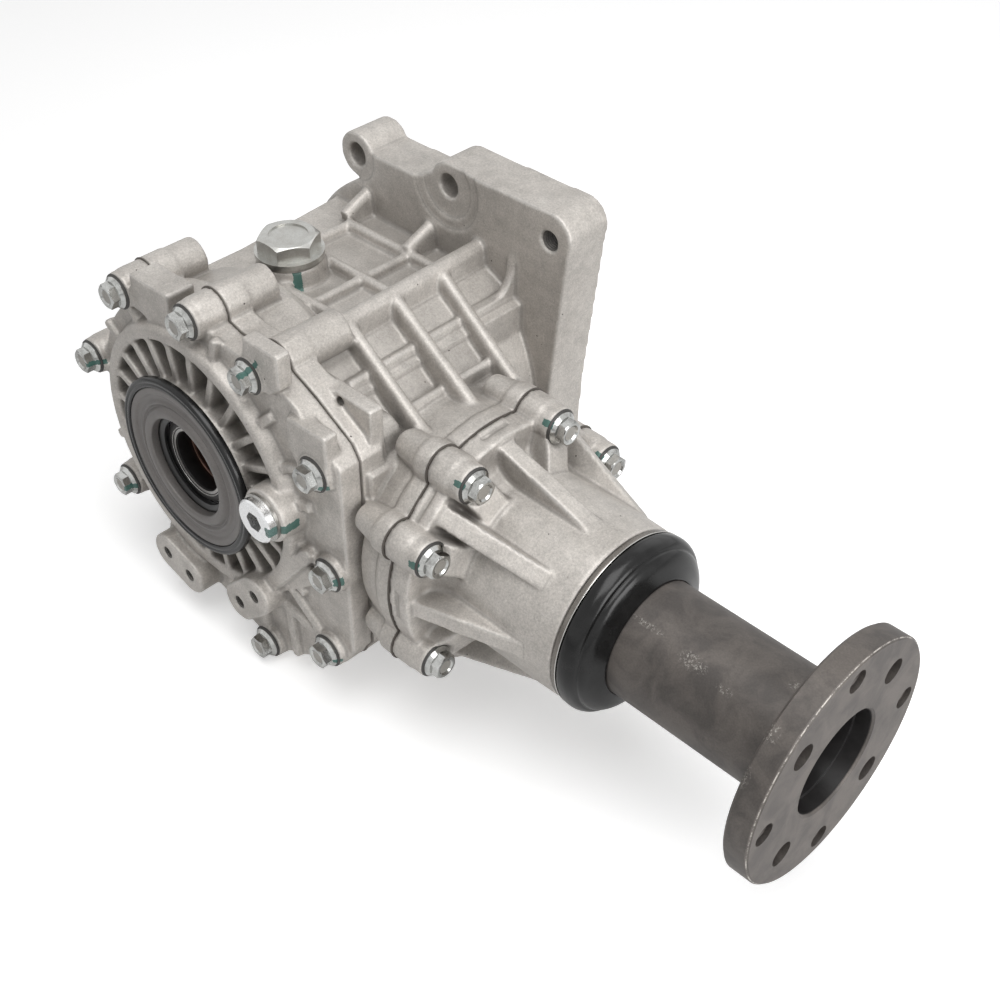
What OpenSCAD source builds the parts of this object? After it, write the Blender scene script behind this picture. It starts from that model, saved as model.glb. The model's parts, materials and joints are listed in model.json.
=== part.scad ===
// Transfer case with a right-angle bevel drive: a ribbed cast housing bolts to a
// transaxle, a ring gear on a hollow cross shaft drives a pinion, and the pinion
// turns a tubular output shaft with a round flange.
// X runs along the output axis to its flange, Y along the cross axis to the
// transaxle, Z is up. The origin is on the cross axis in the mounting face.

/* [Layout] */
// Mounting face to the output axis
output_setback = 108.5; // [104:0.5:115]
// How far the output axis lies below the cross axis
output_drop = 10; // [8:0.5:12]
// Output axis to the cover joint
cover_joint = 57; // [55:0.5:62]
// Cross axis to the joint of the pinion housing
pinion_joint = 136; // [132:1:145]
// Cross axis to the face of the output flange
output_reach = 344.5; // [320:0.5:400]

/* [Main housing] */
// Drum radius behind the cover
drum_r_cover = 84; // [82:0.5:90]
// Drum radius at the mounting plate
drum_r_plate = 92; // [88:0.5:96]
// Radius of the gear space
gear_space_r = 77; // [76:0.5:79]
// Height of the flat deck above the cross axis
deck_z = 66; // [64:0.5:70]
// Height of the spine rib above the cross axis
spine_z = 86; // [82:0.5:92]
// Thickness of the cast ribs
rib_w = 6; // [4:0.5:8]
// How far the deck ribs stand above the deck
deck_rib_h = 6; // [3:0.5:9]
// Thickness of the mounting plate
plate_thk = 28.5; // [24:0.5:32]
// Thickness of the joint flange behind the cover
joint_flange_thk = 14; // [10:0.5:18]
// Radius of the barrel round the output axis
barrel_r = 63; // [60:0.5:66]

/* [Cover] */
// Cross axis to the cover's straight side
cover_side = 109; // [107:0.5:112]
// Thickness of the cover at its bolt seats
cover_seat_thk = 18; // [16:0.5:22]
// Thickness of the cover's rim plate
cover_plate_thk = 13; // [10:0.5:15]
// Outer radius of the cover's ring rib
ring_rib_r = 75.8; // [73:0.2:79]
// Width of the ring rib
ring_rib_w = 7.5; // [5:0.5:10]
// Number of radial ribs inside the ring rib
cover_ribs = 24; // [16:1:30]
// Thickness of one radial rib
cover_rib_w = 4.2; // [3:0.2:6]
// Radius of the cover's hub
cover_hub_r = 46.4; // [45:0.5:50]
// Radius of the dust disc
dust_disc_r = 51.2; // [49:0.2:54]

/* [Pinion housing] */
// Radius of the bolt circle of the pinion housing
pinion_bolt_r = 67.3; // [66:0.1:70]
// Length of its bolt bosses
pinion_boss_len = 20; // [16:0.5:24]
// Radius of one bolt boss
boss_r = 11; // [10:0.25:12]
// Cross axis to the end of the cone
cone_end = 220; // [215:0.5:225]
// Outer radius of the body between the fins
cone_end_r = 46.4; // [45:0.1:48]
// Width of one fin on the cone
fin_w = 10; // [7:0.5:12]

/* [Bevel gears] */
// Teeth on the ring gear
ring_teeth = 31; // [29:1:33]
// Teeth on the pinion
pinion_teeth = 12; // [12:1:13]
// Cross axis to the outer end of the teeth
gear_outer = 66; // [62:0.5:67]
// Face width of the gears
gear_face = 20; // [16:0.5:22]
// Play between the teeth, along the pitch circle
gear_backlash = 0.7; // [0.6:0.05:1.2]
// Extra depth that the ring gear sits back
gear_relief = 0.45; // [0.3:0.05:0.8]

/* [Shafts and bearings] */
// Outer radius of the hollow cross shaft
cross_r = 24; // [23:0.25:25]
// Bore radius of the cross shaft
cross_bore_r = 17.5; // [16:0.25:19]
// How far the cross shaft stands out of the mounting face
cross_out = 28; // [20:1:40]
// Outer radius of the cross shaft bearings
cross_bearing_r = 40; // [39:0.25:42]
// Width of the cross shaft bearings
cross_bearing_w = 16; // [14:0.5:18]
// Radius of the pinion stem in its head bearing
stem_r = 20; // [19:0.25:22]
// Outer radius of the pinion head bearing
head_bearing_r = 37; // [36:0.25:39]
// Width of the pinion head bearing
head_bearing_w = 20; // [18:0.5:22]
// Outer radius of the tail bearing
tail_bearing_r = 33; // [32:0.25:35]
// Width of the tail bearing
tail_bearing_w = 17; // [15:0.5:19]

/* [Output shaft] */
// Outer radius of the output tube
tube_r = 30.5; // [29:0.25:33]
// Radius of the output flange
flange_r = 62.5; // [58:0.5:68]
// Thickness of the output flange
flange_thk = 13.1; // [10:0.1:16]
// Radius of the pilot bore in the flange
pilot_r = 26.8; // [24:0.1:27.5]
// Radius of the circle of the plain flange holes
flange_hole_circle_r = 46; // [42:0.1:48]
// Radius of the plain flange holes
flange_hole_r = 6.4; // [5:0.1:7]
// Radius of the circle of the threaded flange holes
flange_thread_circle_r = 51.8; // [49:0.1:53]
// Radius of the threaded flange holes
flange_thread_r = 5.7; // [4.5:0.1:6]

/* [Hardware] */
// Across the flats of a bolt head
bolt_flats = 12; // [11:0.5:14]
// Thread radius of the housing bolts
bolt_r = 4; // [3.5:0.25:4.25]
// Radius of the flange under a bolt head
bolt_flange_r = 8.6; // [8:0.1:9.5]
// Across the flats of the fill plug
fill_flats = 29; // [26:0.5:32]
// Radius of the level plug's head
level_head_r = 12; // [11:0.25:13]

/* [Hidden] */
$fn = 72;
round_fine = 128;
small_fn = 32;

// Fits that every pair of pieces shares
seat_fit = 0.02;
thread_fit = 0.05;
run_gap = 0.5;
bolt_grip = 9;
sealant_thk = 0.4;
boss_step = 0.5;
boss_spot = 0.4;
slot_step = 0.05;

// Planes along the cross axis, measured from the output axis
plate_front = output_setback - plate_thk;
cover_face = -cover_joint - sealant_thk;
bolt_seat = -cover_joint - cover_seat_thk;
cover_rim = -cover_joint - cover_plate_thk;
ring_rib_top = bolt_seat - 2.5;
hub_top = bolt_seat - 5;
pocket_floor = -cover_joint - 8;
cast_grey = [0.76, 0.74, 0.71];
steel = [0.66, 0.66, 0.67];
dark_steel = [0.20, 0.19, 0.18];
rubber_black = [0.05, 0.05, 0.05];

// Cover bolts as x and z, measured from the cross axis
cover_bolt_at = [[-51, 79], [6.7, 88.6], [53, 81], [95.3, 47], [99.4, -15], [93.3, -73],
    [40, -106], [-77.3, -59.6], [-91, 19.3]];
// How far each bolt boss runs back behind the cover joint
cover_boss_back = [31, 32, 38, 30, 24, 24, 24, 26, 26];
dowel_at = [[-88, -20], [98, 18]];
dowel_r = 4;
dowel_len = 14;

// Bosses round the pinion housing, as angles from the cross axis
pinion_bolt_angles = [15, 66, 117, 151, 212, 263, 314];
fin_angles = [40.5, 91.5, 134, 181.5, 237.5, 288.5, 344.5];
bolt_head_x = pinion_joint + pinion_boss_len;

// Gear ratio and teeth, all per unit of distance from the apex
gear_ratio = pinion_teeth / ring_teeth;
gear_module = 2 / ring_teeth;
pressure_angle = 22.5;
ring_addendum = 0.5 * gear_module;
ring_dedendum = 1.12 * gear_module;
pinion_addendum = 0.88 * gear_module;
pinion_dedendum = 0.72 * gear_module;
gear_inner = gear_outer - gear_face;
play = gear_backlash / gear_outer / 2;
ring_back = -gear_outer * gear_ratio - 15;
ring_gear_bore_r = 43;
gear_space_end = -12;
ring_bolt_circle_r = 50.5;
ring_bolts = 8;
ring_bolt_r = 4;
shaft_flange_thk = 7;
shaft_flange_back = ring_back - shaft_flange_thk;

// Bearings and seals along the cross axis
cover_bearing_at = -cover_joint - 1;
mount_bearing_at = 50;
mount_seal_at = output_setback - 18;
seal_w = 9;
cover_seal_w = 6;
seal_r = 35;
spigot_r = 47;
spigot_h = 6;
spigot_ring_r = 1.2;
spline_len = 24;
spline_teeth = 28;
shaft_cover_end = hub_top + 3;

// Bearings and seals along the output axis
head_bearing_at = pinion_joint - 44;
tail_bearing_at = cone_end - 43;
pilot_in = pinion_joint - 48;
spigot_in_r = 46;
spacer_r = 22;
tail_stem_r = 17;
output_seal_at = cone_end - 12;
output_seal_r = 37;
sleeve_r = 24;
tube_start = cone_end + 12;
tube_inner_end = tail_bearing_at + tail_bearing_w;
nut_at = cone_end + 31;
flange_back = output_reach - flange_thk;
bearing_tilt = 12;

// Frames

// From the gear frame, whose origin is where the axes cross, to the mounting face
module to_mount() {
    translate([0, -output_setback, 0])
        children();
}

// Things turned about the output axis: local z runs along X, local x along Y
module along_output(x = 0) {
    translate([x, 0, -output_drop])
        rotate([90, 0, 90])
            children();
}

// Things turned about the cross axis: local z runs to the cover
module toward_cover(y = 0) {
    translate([0, y, 0])
        rotate([90, 0, 0])
            children();
}

// Things turned about the cross axis: local z runs to the transaxle
module toward_mount(y = 0) {
    translate([0, y, 0])
        rotate([-90, 0, 0])
            children();
}

// General shapes

module ring(r_out, r_in, h) {
    difference() {
        cylinder(r = r_out, h = h, $fn = round_fine);
        translate([0, 0, -1])
            cylinder(r = r_in, h = h + 2, $fn = round_fine);
    }
}

// A cast rib with a rounded crest from point a to point b; both lie on its crest
module rib(a, b, w = rib_w, d = 12) {
    v = b - a;
    len = norm(v);
    translate(a)
        rotate([0, 0, atan2(v[1], v[0])])
            rotate([0, -asin(v[2] / len), 0])
                rotate([90, 0, 90])
                    linear_extrude(height = len)
                        rib_section(w, d);
}

module rib_section(w, d) {
    intersection() {
        union() {
            translate([0, -w / 2])
                circle(r = w / 2, $fn = small_fn);
            polygon([[-w / 2, -w / 2], [w / 2, -w / 2], [w / 2 + d / 10, -d], [-w / 2 - d / 10, -d]]);
        }
        translate([-w * 2, -d])
            square([w * 4, d]);
    }
}

// A hexagon flange bolt: its seat is at z = 0, its head stands on +z
module flange_bolt(shank, flats = bolt_flats, r = bolt_r, flange = bolt_flange_r) {
    head_h = flats * 0.62;
    corner = flats / 2 / cos(30);
    difference() {
        union() {
            translate([0, 0, -shank])
                cylinder(r = r, h = shank + 1, $fn = small_fn);
            rotate_extrude($fn = small_fn * 2)
                polygon([[0, 0], [flange, 0], [flange, 1.3], [corner, 2.9], [0, 2.9]]);
            intersection() {
                cylinder(r = corner, h = head_h, $fn = 6);
                rotate_extrude($fn = small_fn * 2)
                    polygon([[0, 0], [corner + 1, 0], [corner + 1, head_h - 1.2],
                        [flats / 2 - 0.3, head_h], [0, head_h]]);
            }
        }
        translate([0, 0, head_h - 0.8])
            cylinder(r1 = flats * 0.3, r2 = flats * 0.4, h = 1, $fn = small_fn);
    }
}

// Tapered roller bearing: z runs from its small end to its big end
function bearing_roller_r(r, rr) = (rr - r) * 0.2;
function bearing_mid(r, rr, w, z) = (r + rr) / 2 + (z - w / 2) * tan(bearing_tilt);
function bearing_half(r, rr) = bearing_roller_r(r, rr) / cos(bearing_tilt) + 0.3;

module bearing_cup(r, rr, w) {
    rotate_extrude($fn = round_fine)
        polygon([[bearing_mid(r, rr, w, 0) + bearing_half(r, rr), 0], [rr - seat_fit, 0],
            [rr - seat_fit, w - 1], [bearing_mid(r, rr, w, w - 1) + bearing_half(r, rr), w - 1]]);
}

module bearing_cone(r, rr, w) {
    rotate_extrude($fn = round_fine)
        polygon([[r + seat_fit, 1], [bearing_mid(r, rr, w, 1) - bearing_half(r, rr), 1],
            [bearing_mid(r, rr, w, w) - bearing_half(r, rr), w], [r + seat_fit, w]]);
}

module bearing_rollers(r, rr, w, count) {
    rr_roll = bearing_roller_r(r, rr);
    for (i = [0 : count - 1])
        rotate([0, 0, i * 360 / count])
            translate([bearing_mid(r, rr, w, w / 2), 0, w / 2])
                rotate([0, bearing_tilt, 0])
                    cylinder(r = rr_roll, h = w * 0.66, center = true, $fn = 24);
    for (z = [w * 0.16, w * 0.76])
        translate([0, 0, z])
            ring(bearing_mid(r, rr, w, z) + rr_roll * 0.35,
                bearing_mid(r, rr, w, z) - rr_roll * 0.35, w * 0.08);
}

// Rubber-lipped seal in a steel case: local z runs to the outside
module lip_seal(r_out, r_in, h) {
    lip = r_in + run_gap;
    rotate_extrude($fn = round_fine)
        polygon([[r_out - seat_fit, 0], [r_out - seat_fit, h], [lip + 2.5, h], [lip, h - 1],
            [lip, h - 2.4], [lip + 3, h - 3], [lip + 3, 3.4], [lip, 2.4], [lip, 1], [lip + 2, 0]]);
}

// Outlines

// Joint outline of the cover, seen from outside: x to the right, z up
module cover_outline(grow = 0) {
    circle(r = 88 + grow, $fn = round_fine);
    polygon([[20, 84 + grow], [58, 84 + grow], [80, 74 + grow], [104 + grow, 60], [cover_side + grow, 52],
        [cover_side + grow, -68], [98 + grow, -84 - grow], [46, -113 - grow], [30, -113 - grow],
        [-12 - grow, -98 - grow], [-40, -70], [0, 0]]);
    for (p = cover_bolt_at)
        translate(p)
            circle(r = boss_r + grow, $fn = small_fn);
}

// Outline of the pinion housing joint, seen along the output axis
module pinion_outline(grow = 0) {
    circle(r = pinion_bolt_r + 0.7 + grow, $fn = round_fine);
    for (a = pinion_bolt_angles)
        rotate(a)
            translate([pinion_bolt_r, 0])
                circle(r = boss_r + grow, $fn = small_fn);
}

module at_pinion_bolts() {
    for (a = pinion_bolt_angles)
        rotate([0, 0, a])
            translate([pinion_bolt_r, 0, 0])
                children();
}

// Mounting plate: two bosses on top, a broad corner, a lower edge round the drum
plate_hole_at = [[-46.8, 97.7], [24.1, 106.2], [92, -60], [-12, -104], [-88, -55]];
plate_thread_at = [97.4, 105.4];
plate_corner_at = [98.4, 108.4];
plate_hole_r = 6.6;
plate_thread_r = 5.4;
plate_boss_r = 13;
// Stepped recesses round two of the holes, as radius and depth
plate_recess = [[1, 24.3, 1.1], [1, 18, 2.2], [0, 15.5, 1.1]];

module plate_outline() {
    circle(r = drum_r_plate + 3, $fn = round_fine);
    polygon([[-44, 60], [-44, 103], [2, 104.5], [13, 111], [19, 117.5], [25, 119], [98, 121.3], [111, 109],
        [101, 14], [97, -58], [86, -72], [0, -60]]);
    translate(plate_corner_at)
        circle(r = plate_boss_r, $fn = small_fn * 2);
    for (p = plate_hole_at)
        translate(p)
            circle(r = plate_boss_r, $fn = small_fn);
}

// Main housing

module main_housing() {
    color(cast_grey)
        to_mount()
            difference() {
                union() {
                    housing_shell();
                    housing_ribs();
                    mounting_plate();
                    lifting_lug();
                    fill_boss();
                }
                housing_bores();
                housing_holes();
            }
}

module housing_shell() {
    length = plate_front + cover_joint - 1;
    // Drum along the cross axis, flat on top
    difference() {
        toward_cover(plate_front)
            rotate_extrude($fn = round_fine)
                polygon([[0, -1], [drum_r_plate, -1], [drum_r_plate, 0],
                    [drum_r_cover, length - 4], [0, length - 4]]);
        translate([-100, -100, deck_z])
            cube([200, 300, 60]);
    }
    // Full round over the ring gear, falling to the deck
    toward_cover(gear_space_end + 6)
        rotate_extrude($fn = round_fine)
            polygon([[0, 0], [deck_z, 0], [drum_r_cover - 3, 9], [drum_r_cover, 14],
                [drum_r_cover, gear_space_end + 6 + cover_joint - 2],
                [0, gear_space_end + 6 + cover_joint - 2]]);
    // Shoulder under the spine, then the slope down to the barrel
    toward_cover(plate_front + 1)
        linear_extrude(height = length)
            polygon([[0, 0], [0, deck_z - 0.5], [44, deck_z - 0.5], [54, spine_z - 13], [80, 61],
                [80, -70], [30, -82]]);
    toward_cover(50)
        linear_extrude(height = 50 + cover_joint - 3)
            polygon([[60, -60], [60, spine_z - 17], [112, 42], [112, -52], [96, -64]]);
    // Barrel round the output axis, its joint flange and the bolt bosses
    along_output(0)
        rotate_extrude($fn = round_fine)
            polygon([[0, 30], [barrel_r, 30], [barrel_r, pinion_joint - 30],
                [pinion_bolt_r - 1, pinion_joint - 14], [pinion_bolt_r - 1, pinion_joint - 5],
                [0, pinion_joint - 5]]);
    along_output(pinion_joint - sealant_thk - 9)
        linear_extrude(height = 9)
            pinion_outline();
    along_output(pinion_joint - 26)
        at_pinion_bolts()
            cylinder(r1 = boss_r - 4, r2 = boss_r - boss_step, h = 20, $fn = small_fn);
    // Joint flange behind the cover, and its bolt bosses
    toward_cover(joint_flange_thk - cover_joint)
        linear_extrude(height = joint_flange_thk)
            cover_outline();
    for (i = [0 : len(cover_bolt_at) - 1])
        translate([cover_bolt_at[i][0], 0, cover_bolt_at[i][1]])
            toward_cover(cover_boss_back[i] - cover_joint)
                cylinder(r = boss_r - boss_step, h = cover_boss_back[i] - 1, $fn = small_fn);
}

module housing_ribs() {
    crest = deck_z + deck_rib_h;
    gusset_r = 13;
    gusset_rise = 27;
    // Spine, running into the plate
    rib([52, -22, spine_z], [49, plate_front + 1, spine_z], rib_w + 3, 26);
    // Ribs across the deck
    for (y = [-6, 28, 61])
        rib([-34, y, crest], [50, y + 3, crest], rib_w, deck_rib_h + 4);
    // Ribs along the deck
    rib([13, -20, crest - 1], [14, 64, crest - 1], rib_w, deck_rib_h + 3);
    rib([-33, 26, crest - 1], [-32, 64, crest - 1], rib_w, deck_rib_h + 3);
    rib([34, 28, crest - 1.5], [34, 62, crest - 1.5], rib_w - 1, deck_rib_h + 3);
    for (x = [-38, 12])
        rib([x, 61, crest + 2], [x, plate_front + 1, crest + 10], rib_w + 2, deck_rib_h + 12);
    // Ribs down the slope to the pinion bosses
    rib([52, -14, spine_z - 1], [117, -22, 54], rib_w + 1, 24);
    rib([52, 17, spine_z - 1], [122, 8, 54], rib_w + 1, 24);
    rib([50, 50, spine_z - 1], [116, 40, 52], rib_w + 1, 24);
    // Cross ribs between them
    rib([74, -34, 67], [72, 60, 67], rib_w - 1, 14);
    rib([97, -24, 56], [97, 44, 56], rib_w - 1, 12);
    // The cross rib runs on and curves up the plate
    translate([75.5, 0, 0])
        rotate([90, 0, -90])
            linear_extrude(height = rib_w - 1)
                polygon(concat([[-50, 40], [-50, 67]],
                    [for (a = [0 : 10 : 90])
                        [gusset_r * (1 - sin(a)) - plate_front, 67 + gusset_rise * (1 - cos(a))]],
                    [[-plate_front - 1, 40]]));
    // Ribs along the drum's far side and underneath
    for (a = [150, 180, 210, 240, 270])
        rotate([0, -a, 0])
            translate([70, -cover_joint + 8, -rib_w / 2])
                cube([24.5, plate_front + cover_joint - 7, rib_w]);
}

module mounting_plate() {
    toward_cover(output_setback)
        linear_extrude(height = plate_thk)
            plate_outline();
    // Spigot that centres the case in the transaxle
    toward_mount(output_setback - 1)
        cylinder(r = spigot_r, h = spigot_h + 1, $fn = round_fine);
}

// Flat lug with a small hole, behind the cover joint
lug_front = -48.5;
lug_thk = 8.5;
lug_hole_at = [86, 69.5];
lug_hole_r = 2.8;

module lifting_lug() {
    toward_cover(lug_front + lug_thk)
        linear_extrude(height = lug_thk)
            polygon([[60, 50], [67, 74.5], [107, 74.5], [107, 34], [92, 20], [62, 20]]);
}

fill_at = [-20, 10];
fill_boss_h = 11;
fill_thread_r = 9;
fill_seat_z = deck_z + fill_boss_h;

module fill_boss() {
    translate([fill_at[0], fill_at[1], deck_z - 4])
        cylinder(r1 = fill_flats / 2 + 5.5, r2 = fill_flats / 2 + 3, h = fill_boss_h + 4,
            $fn = small_fn * 2);
}

module housing_bores() {
    // Room for the cover beside the barrel
    translate([-150, -cover_joint - 100, -150])
        cube([150 + cover_side + 2.5, 100, 300]);
    // Gear space, open to the cover, narrower past the ring gear
    toward_cover(gear_space_end)
        cylinder(r = gear_space_r, h = gear_space_end + cover_joint + 1, $fn = round_fine);
    toward_cover(40)
        cylinder(r = deck_z - 7, h = 41 - gear_space_end, $fn = round_fine);
    // Bearing bore, oil seal bore and shaft passage at the transaxle
    toward_mount(39)
        cylinder(r = cross_bearing_r, h = mount_bearing_at + cross_bearing_w + 1 - 39, $fn = round_fine);
    toward_mount(39)
        cylinder(r = cross_r + 6, h = output_setback, $fn = round_fine);
    toward_mount(mount_seal_at)
        cylinder(r = seal_r, h = 60, $fn = round_fine);
    // Groove of the sealing ring on the spigot
    toward_mount(output_setback + 1.5)
        ring(spigot_r + 2, spigot_r - 2.5, 3);
    // Bore that holds the pinion housing
    along_output(cross_bearing_r - 4)
        cylinder(r = spigot_in_r + seat_fit, h = pinion_joint, $fn = round_fine);
}

module housing_holes() {
    for (p = cover_bolt_at)
        translate([p[0], 0, p[1]])
            toward_cover(bolt_grip + 1 - cover_joint)
                cylinder(r = bolt_r + thread_fit, h = bolt_grip + 2, $fn = small_fn);
    for (p = dowel_at)
        translate([p[0], 0, p[1]])
            toward_cover(dowel_len / 2 + 1 - cover_joint)
                cylinder(r = dowel_r + seat_fit, h = dowel_len, $fn = small_fn);
    along_output(pinion_joint - 22)
        at_pinion_bolts()
            cylinder(r = bolt_r + thread_fit, h = 23, $fn = small_fn);
    for (p = plate_hole_at)
        translate([p[0], 0, p[1]])
            toward_cover(output_setback + 1)
                cylinder(r = plate_hole_r, h = plate_thk + 2, $fn = small_fn);
    translate([plate_thread_at[0], 0, plate_thread_at[1]])
        toward_cover(output_setback + 1)
            cylinder(r = plate_thread_r, h = plate_thk + 2, $fn = small_fn);
    for (seat = plate_recess)
        translate([plate_hole_at[seat[0]][0], 0, plate_hole_at[seat[0]][1]])
            toward_cover(plate_front + seat[2])
                cylinder(r = seat[1], h = seat[2] + 4, $fn = round_fine);
    translate([lug_hole_at[0], 0, lug_hole_at[1]])
        toward_cover(lug_front + lug_thk + 1)
            cylinder(r = lug_hole_r, h = lug_thk + 2, $fn = small_fn);
    translate([fill_at[0], fill_at[1], fill_seat_z - 20])
        cylinder(r = fill_thread_r + thread_fit, h = 30, $fn = small_fn * 2);
}

// Cover

level_at = [dust_disc_r + 14.8, 9];
level_seat = -85;
level_thread_r = 7;
pad_face = -85;
pad_hole_r = 3.6;
pad_at = [[[-34, -82], [-15, -87]], [[32, -74.5], [46, -61]]];
pad_r = 11.5;
block_depth = 10;

module side_cover() {
    color(cast_grey)
        to_mount()
            difference() {
                union() {
                    cover_body();
                    cover_ribs_out();
                    cover_blocks();
                    cover_pads();
                }
                cover_bores();
                cover_holes();
            }
}

module cover_body() {
    difference() {
        union() {
            // Rim plate with the bolt bosses
            toward_cover(cover_face)
                linear_extrude(height = cover_face - cover_rim)
                    cover_outline(-0.5);
            for (p = cover_bolt_at)
                translate([p[0], 0, p[1]])
                    toward_cover(cover_face)
                        cylinder(r = boss_r - 2 * boss_step, h = cover_face - bolt_seat, $fn = small_fn);
            // Ring rib
            toward_cover(cover_rim + 1)
                rotate_extrude($fn = round_fine)
                    ring_rib_section(cover_rim + 1 - ring_rib_top);
        }
        // Pockets between the hub and the ring rib
        toward_cover(pocket_floor)
            ring(ring_rib_r - ring_rib_w, cover_hub_r - 1, 60);
    }
    toward_cover(cover_face)
        cylinder(r = cover_hub_r, h = cover_face - hub_top, $fn = round_fine);
}

// Half section of the ring rib, with its crest rounded on both sides
module ring_rib_section(h) {
    inner = ring_rib_r - ring_rib_w;
    polygon([[inner - 1, 0], [ring_rib_r + 2.5, 0], [ring_rib_r, h - 1.2],
        [ring_rib_r - 1.2, h], [inner + 1.2, h], [inner, h - 1.2]]);
}

module cover_ribs_out() {
    // Radial ribs across the pockets
    toward_cover(pocket_floor + 1)
        for (i = [0 : cover_ribs - 1])
            rotate([0, 0, 10.5 + i * 360 / cover_ribs])
                translate([cover_hub_r - 1, -cover_rib_w / 2, 0])
                    cube([ring_rib_r - ring_rib_w - cover_hub_r + 2, cover_rib_w,
                        pocket_floor - ring_rib_top]);
    // Ribs from the ring rib out to the bolt bosses
    toward_cover(cover_rim + 1)
        linear_extrude(height = cover_rim - bolt_seat)
            for (p = cover_bolt_at)
                slot_shape(p, p * (ring_rib_r - 2) / norm(p), rib_w / 2 - 0.5);
    // Short ribs between the bosses
    toward_cover(cover_rim + 1)
        linear_extrude(height = 4.5)
            for (a = [12, 44, -32, -50, -84, -104, 200, 240, 146, 104, 74])
                rotate(a)
                    translate([ring_rib_r - 2, -rib_w / 2 + 0.5])
                        square([15, rib_w - 1]);
    // Ribs over the low corner of the cover
    toward_cover(cover_rim + 1)
        linear_extrude(height = 4.5) {
            slot_shape([46, -61], cover_bolt_at[4], 4.5);
            slot_shape([52, -66], cover_bolt_at[5], 3);
            slot_shape([34, -78], cover_bolt_at[6], 3);
            slot_shape([60, -72], [62, -100], 3);
        }
    toward_cover(cover_rim + 1)
        linear_extrude(height = cover_rim - bolt_seat + 3)
            slot_shape([46, -61], cover_bolt_at[4] * 0.84, 4);
}

// Two rounds of radius r joined by a straight band
module slot_shape(a, b, r) {
    for (p = [a, b])
        translate(p)
            circle(r = r, $fn = small_fn);
    v = b - a;
    translate(a)
        rotate(atan2(v[1], v[0]))
            translate([0, slot_step - r])
                square([norm(v), 2 * (r - slot_step)]);
}

// Cast blocks with flat ends beside three of the bolts
module cover_blocks() {
    toward_cover(bolt_seat + block_depth)
        linear_extrude(height = block_depth - 1) {
            polygon([[76, 52], [77, 70], [104, 71.5], [105, 42], [88, 36]]);
            polygon([[46, 76], [50, 101], [74.5, 101.5], [74.5, 83], [66, 76]]);
        }
    toward_cover(cover_face)
        linear_extrude(height = cover_face - bolt_seat - 1)
            polygon([[-42, 74], [-40, 94], [-8, 95.5], [-10, 82], [-8, 70]]);
}

module cover_pads() {
    for (pad = pad_at)
        toward_cover(cover_rim + 1)
            linear_extrude(height = cover_rim + 1 - pad_face)
                slot_shape(pad[0], pad[1], pad_r);
    translate([level_at[0], 0, level_at[1]])
        toward_cover(cover_rim + 1)
            cylinder(r = level_head_r + 3, h = cover_rim + 1 - level_seat, $fn = small_fn * 2);
}

module cover_bores() {
    // Bearing bore with its relief, seal bore and shaft passage
    toward_cover(cover_face + 1)
        cylinder(r = cross_bearing_r, h = cover_face + 1 - cover_bearing_at + cross_bearing_w + 0.2,
            $fn = round_fine);
    toward_cover(cover_face)
        cylinder(r = seal_r, h = 40, $fn = round_fine);
}

module cover_holes() {
    for (p = cover_bolt_at)
        translate([p[0], 0, p[1]])
            toward_cover(1 - cover_joint)
                cylinder(r = bolt_r + 0.5, h = 40, $fn = small_fn);
    for (p = dowel_at)
        translate([p[0], 0, p[1]])
            toward_cover(1 - cover_joint)
                cylinder(r = dowel_r + seat_fit, h = dowel_len / 2 + 1.5, $fn = small_fn);
    for (pad = pad_at)
        for (p = pad)
            translate([p[0], 0, p[1]])
                toward_cover(pad_face + 16)
                    cylinder(r = pad_hole_r, h = 20, $fn = small_fn);
    translate([level_at[0], 0, level_at[1]])
        toward_cover(1 - cover_joint)
            cylinder(r = level_thread_r + thread_fit, h = 40, $fn = small_fn);
}

// Pieces at the cover joint

module cover_sealant() {
    color([0.16, 0.15, 0.14])
        to_mount()
            toward_cover(-cover_joint)
                difference() {
                    union() {
                        linear_extrude(height = sealant_thk)
                            cover_outline(0.3);
                    }
                    translate([0, 0, -1])
                        cylinder(r = gear_space_r + 1, h = 2 + sealant_thk, $fn = round_fine);
                    for (p = cover_bolt_at)
                        translate([p[0], p[1], -1])
                            cylinder(r = bolt_r + 0.5, h = 2 + sealant_thk, $fn = small_fn);
                    for (p = dowel_at)
                        translate([p[0], p[1], -1])
                            cylinder(r = dowel_r + 0.3, h = 2 + sealant_thk, $fn = small_fn);
                }
}

module cover_bolts() {
    color(steel)
        to_mount()
            for (p = cover_bolt_at)
                translate([p[0], 0, p[1]])
                    toward_cover(bolt_seat)
                        flange_bolt(cover_seat_thk + bolt_grip);
}

module cover_dowels() {
    color(steel)
        to_mount()
            for (p = dowel_at)
                translate([p[0], 0, p[1]])
                    toward_cover(dowel_len / 2 - cover_joint)
                        cylinder(r = dowel_r, h = dowel_len, $fn = small_fn);
}

// Pinion housing

// The crests of the fins lie on a cone that runs out into the round body
cone_start = pinion_joint + 11;
cone_start_r = 64.7;
fin_end = cone_end - 16;

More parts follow.
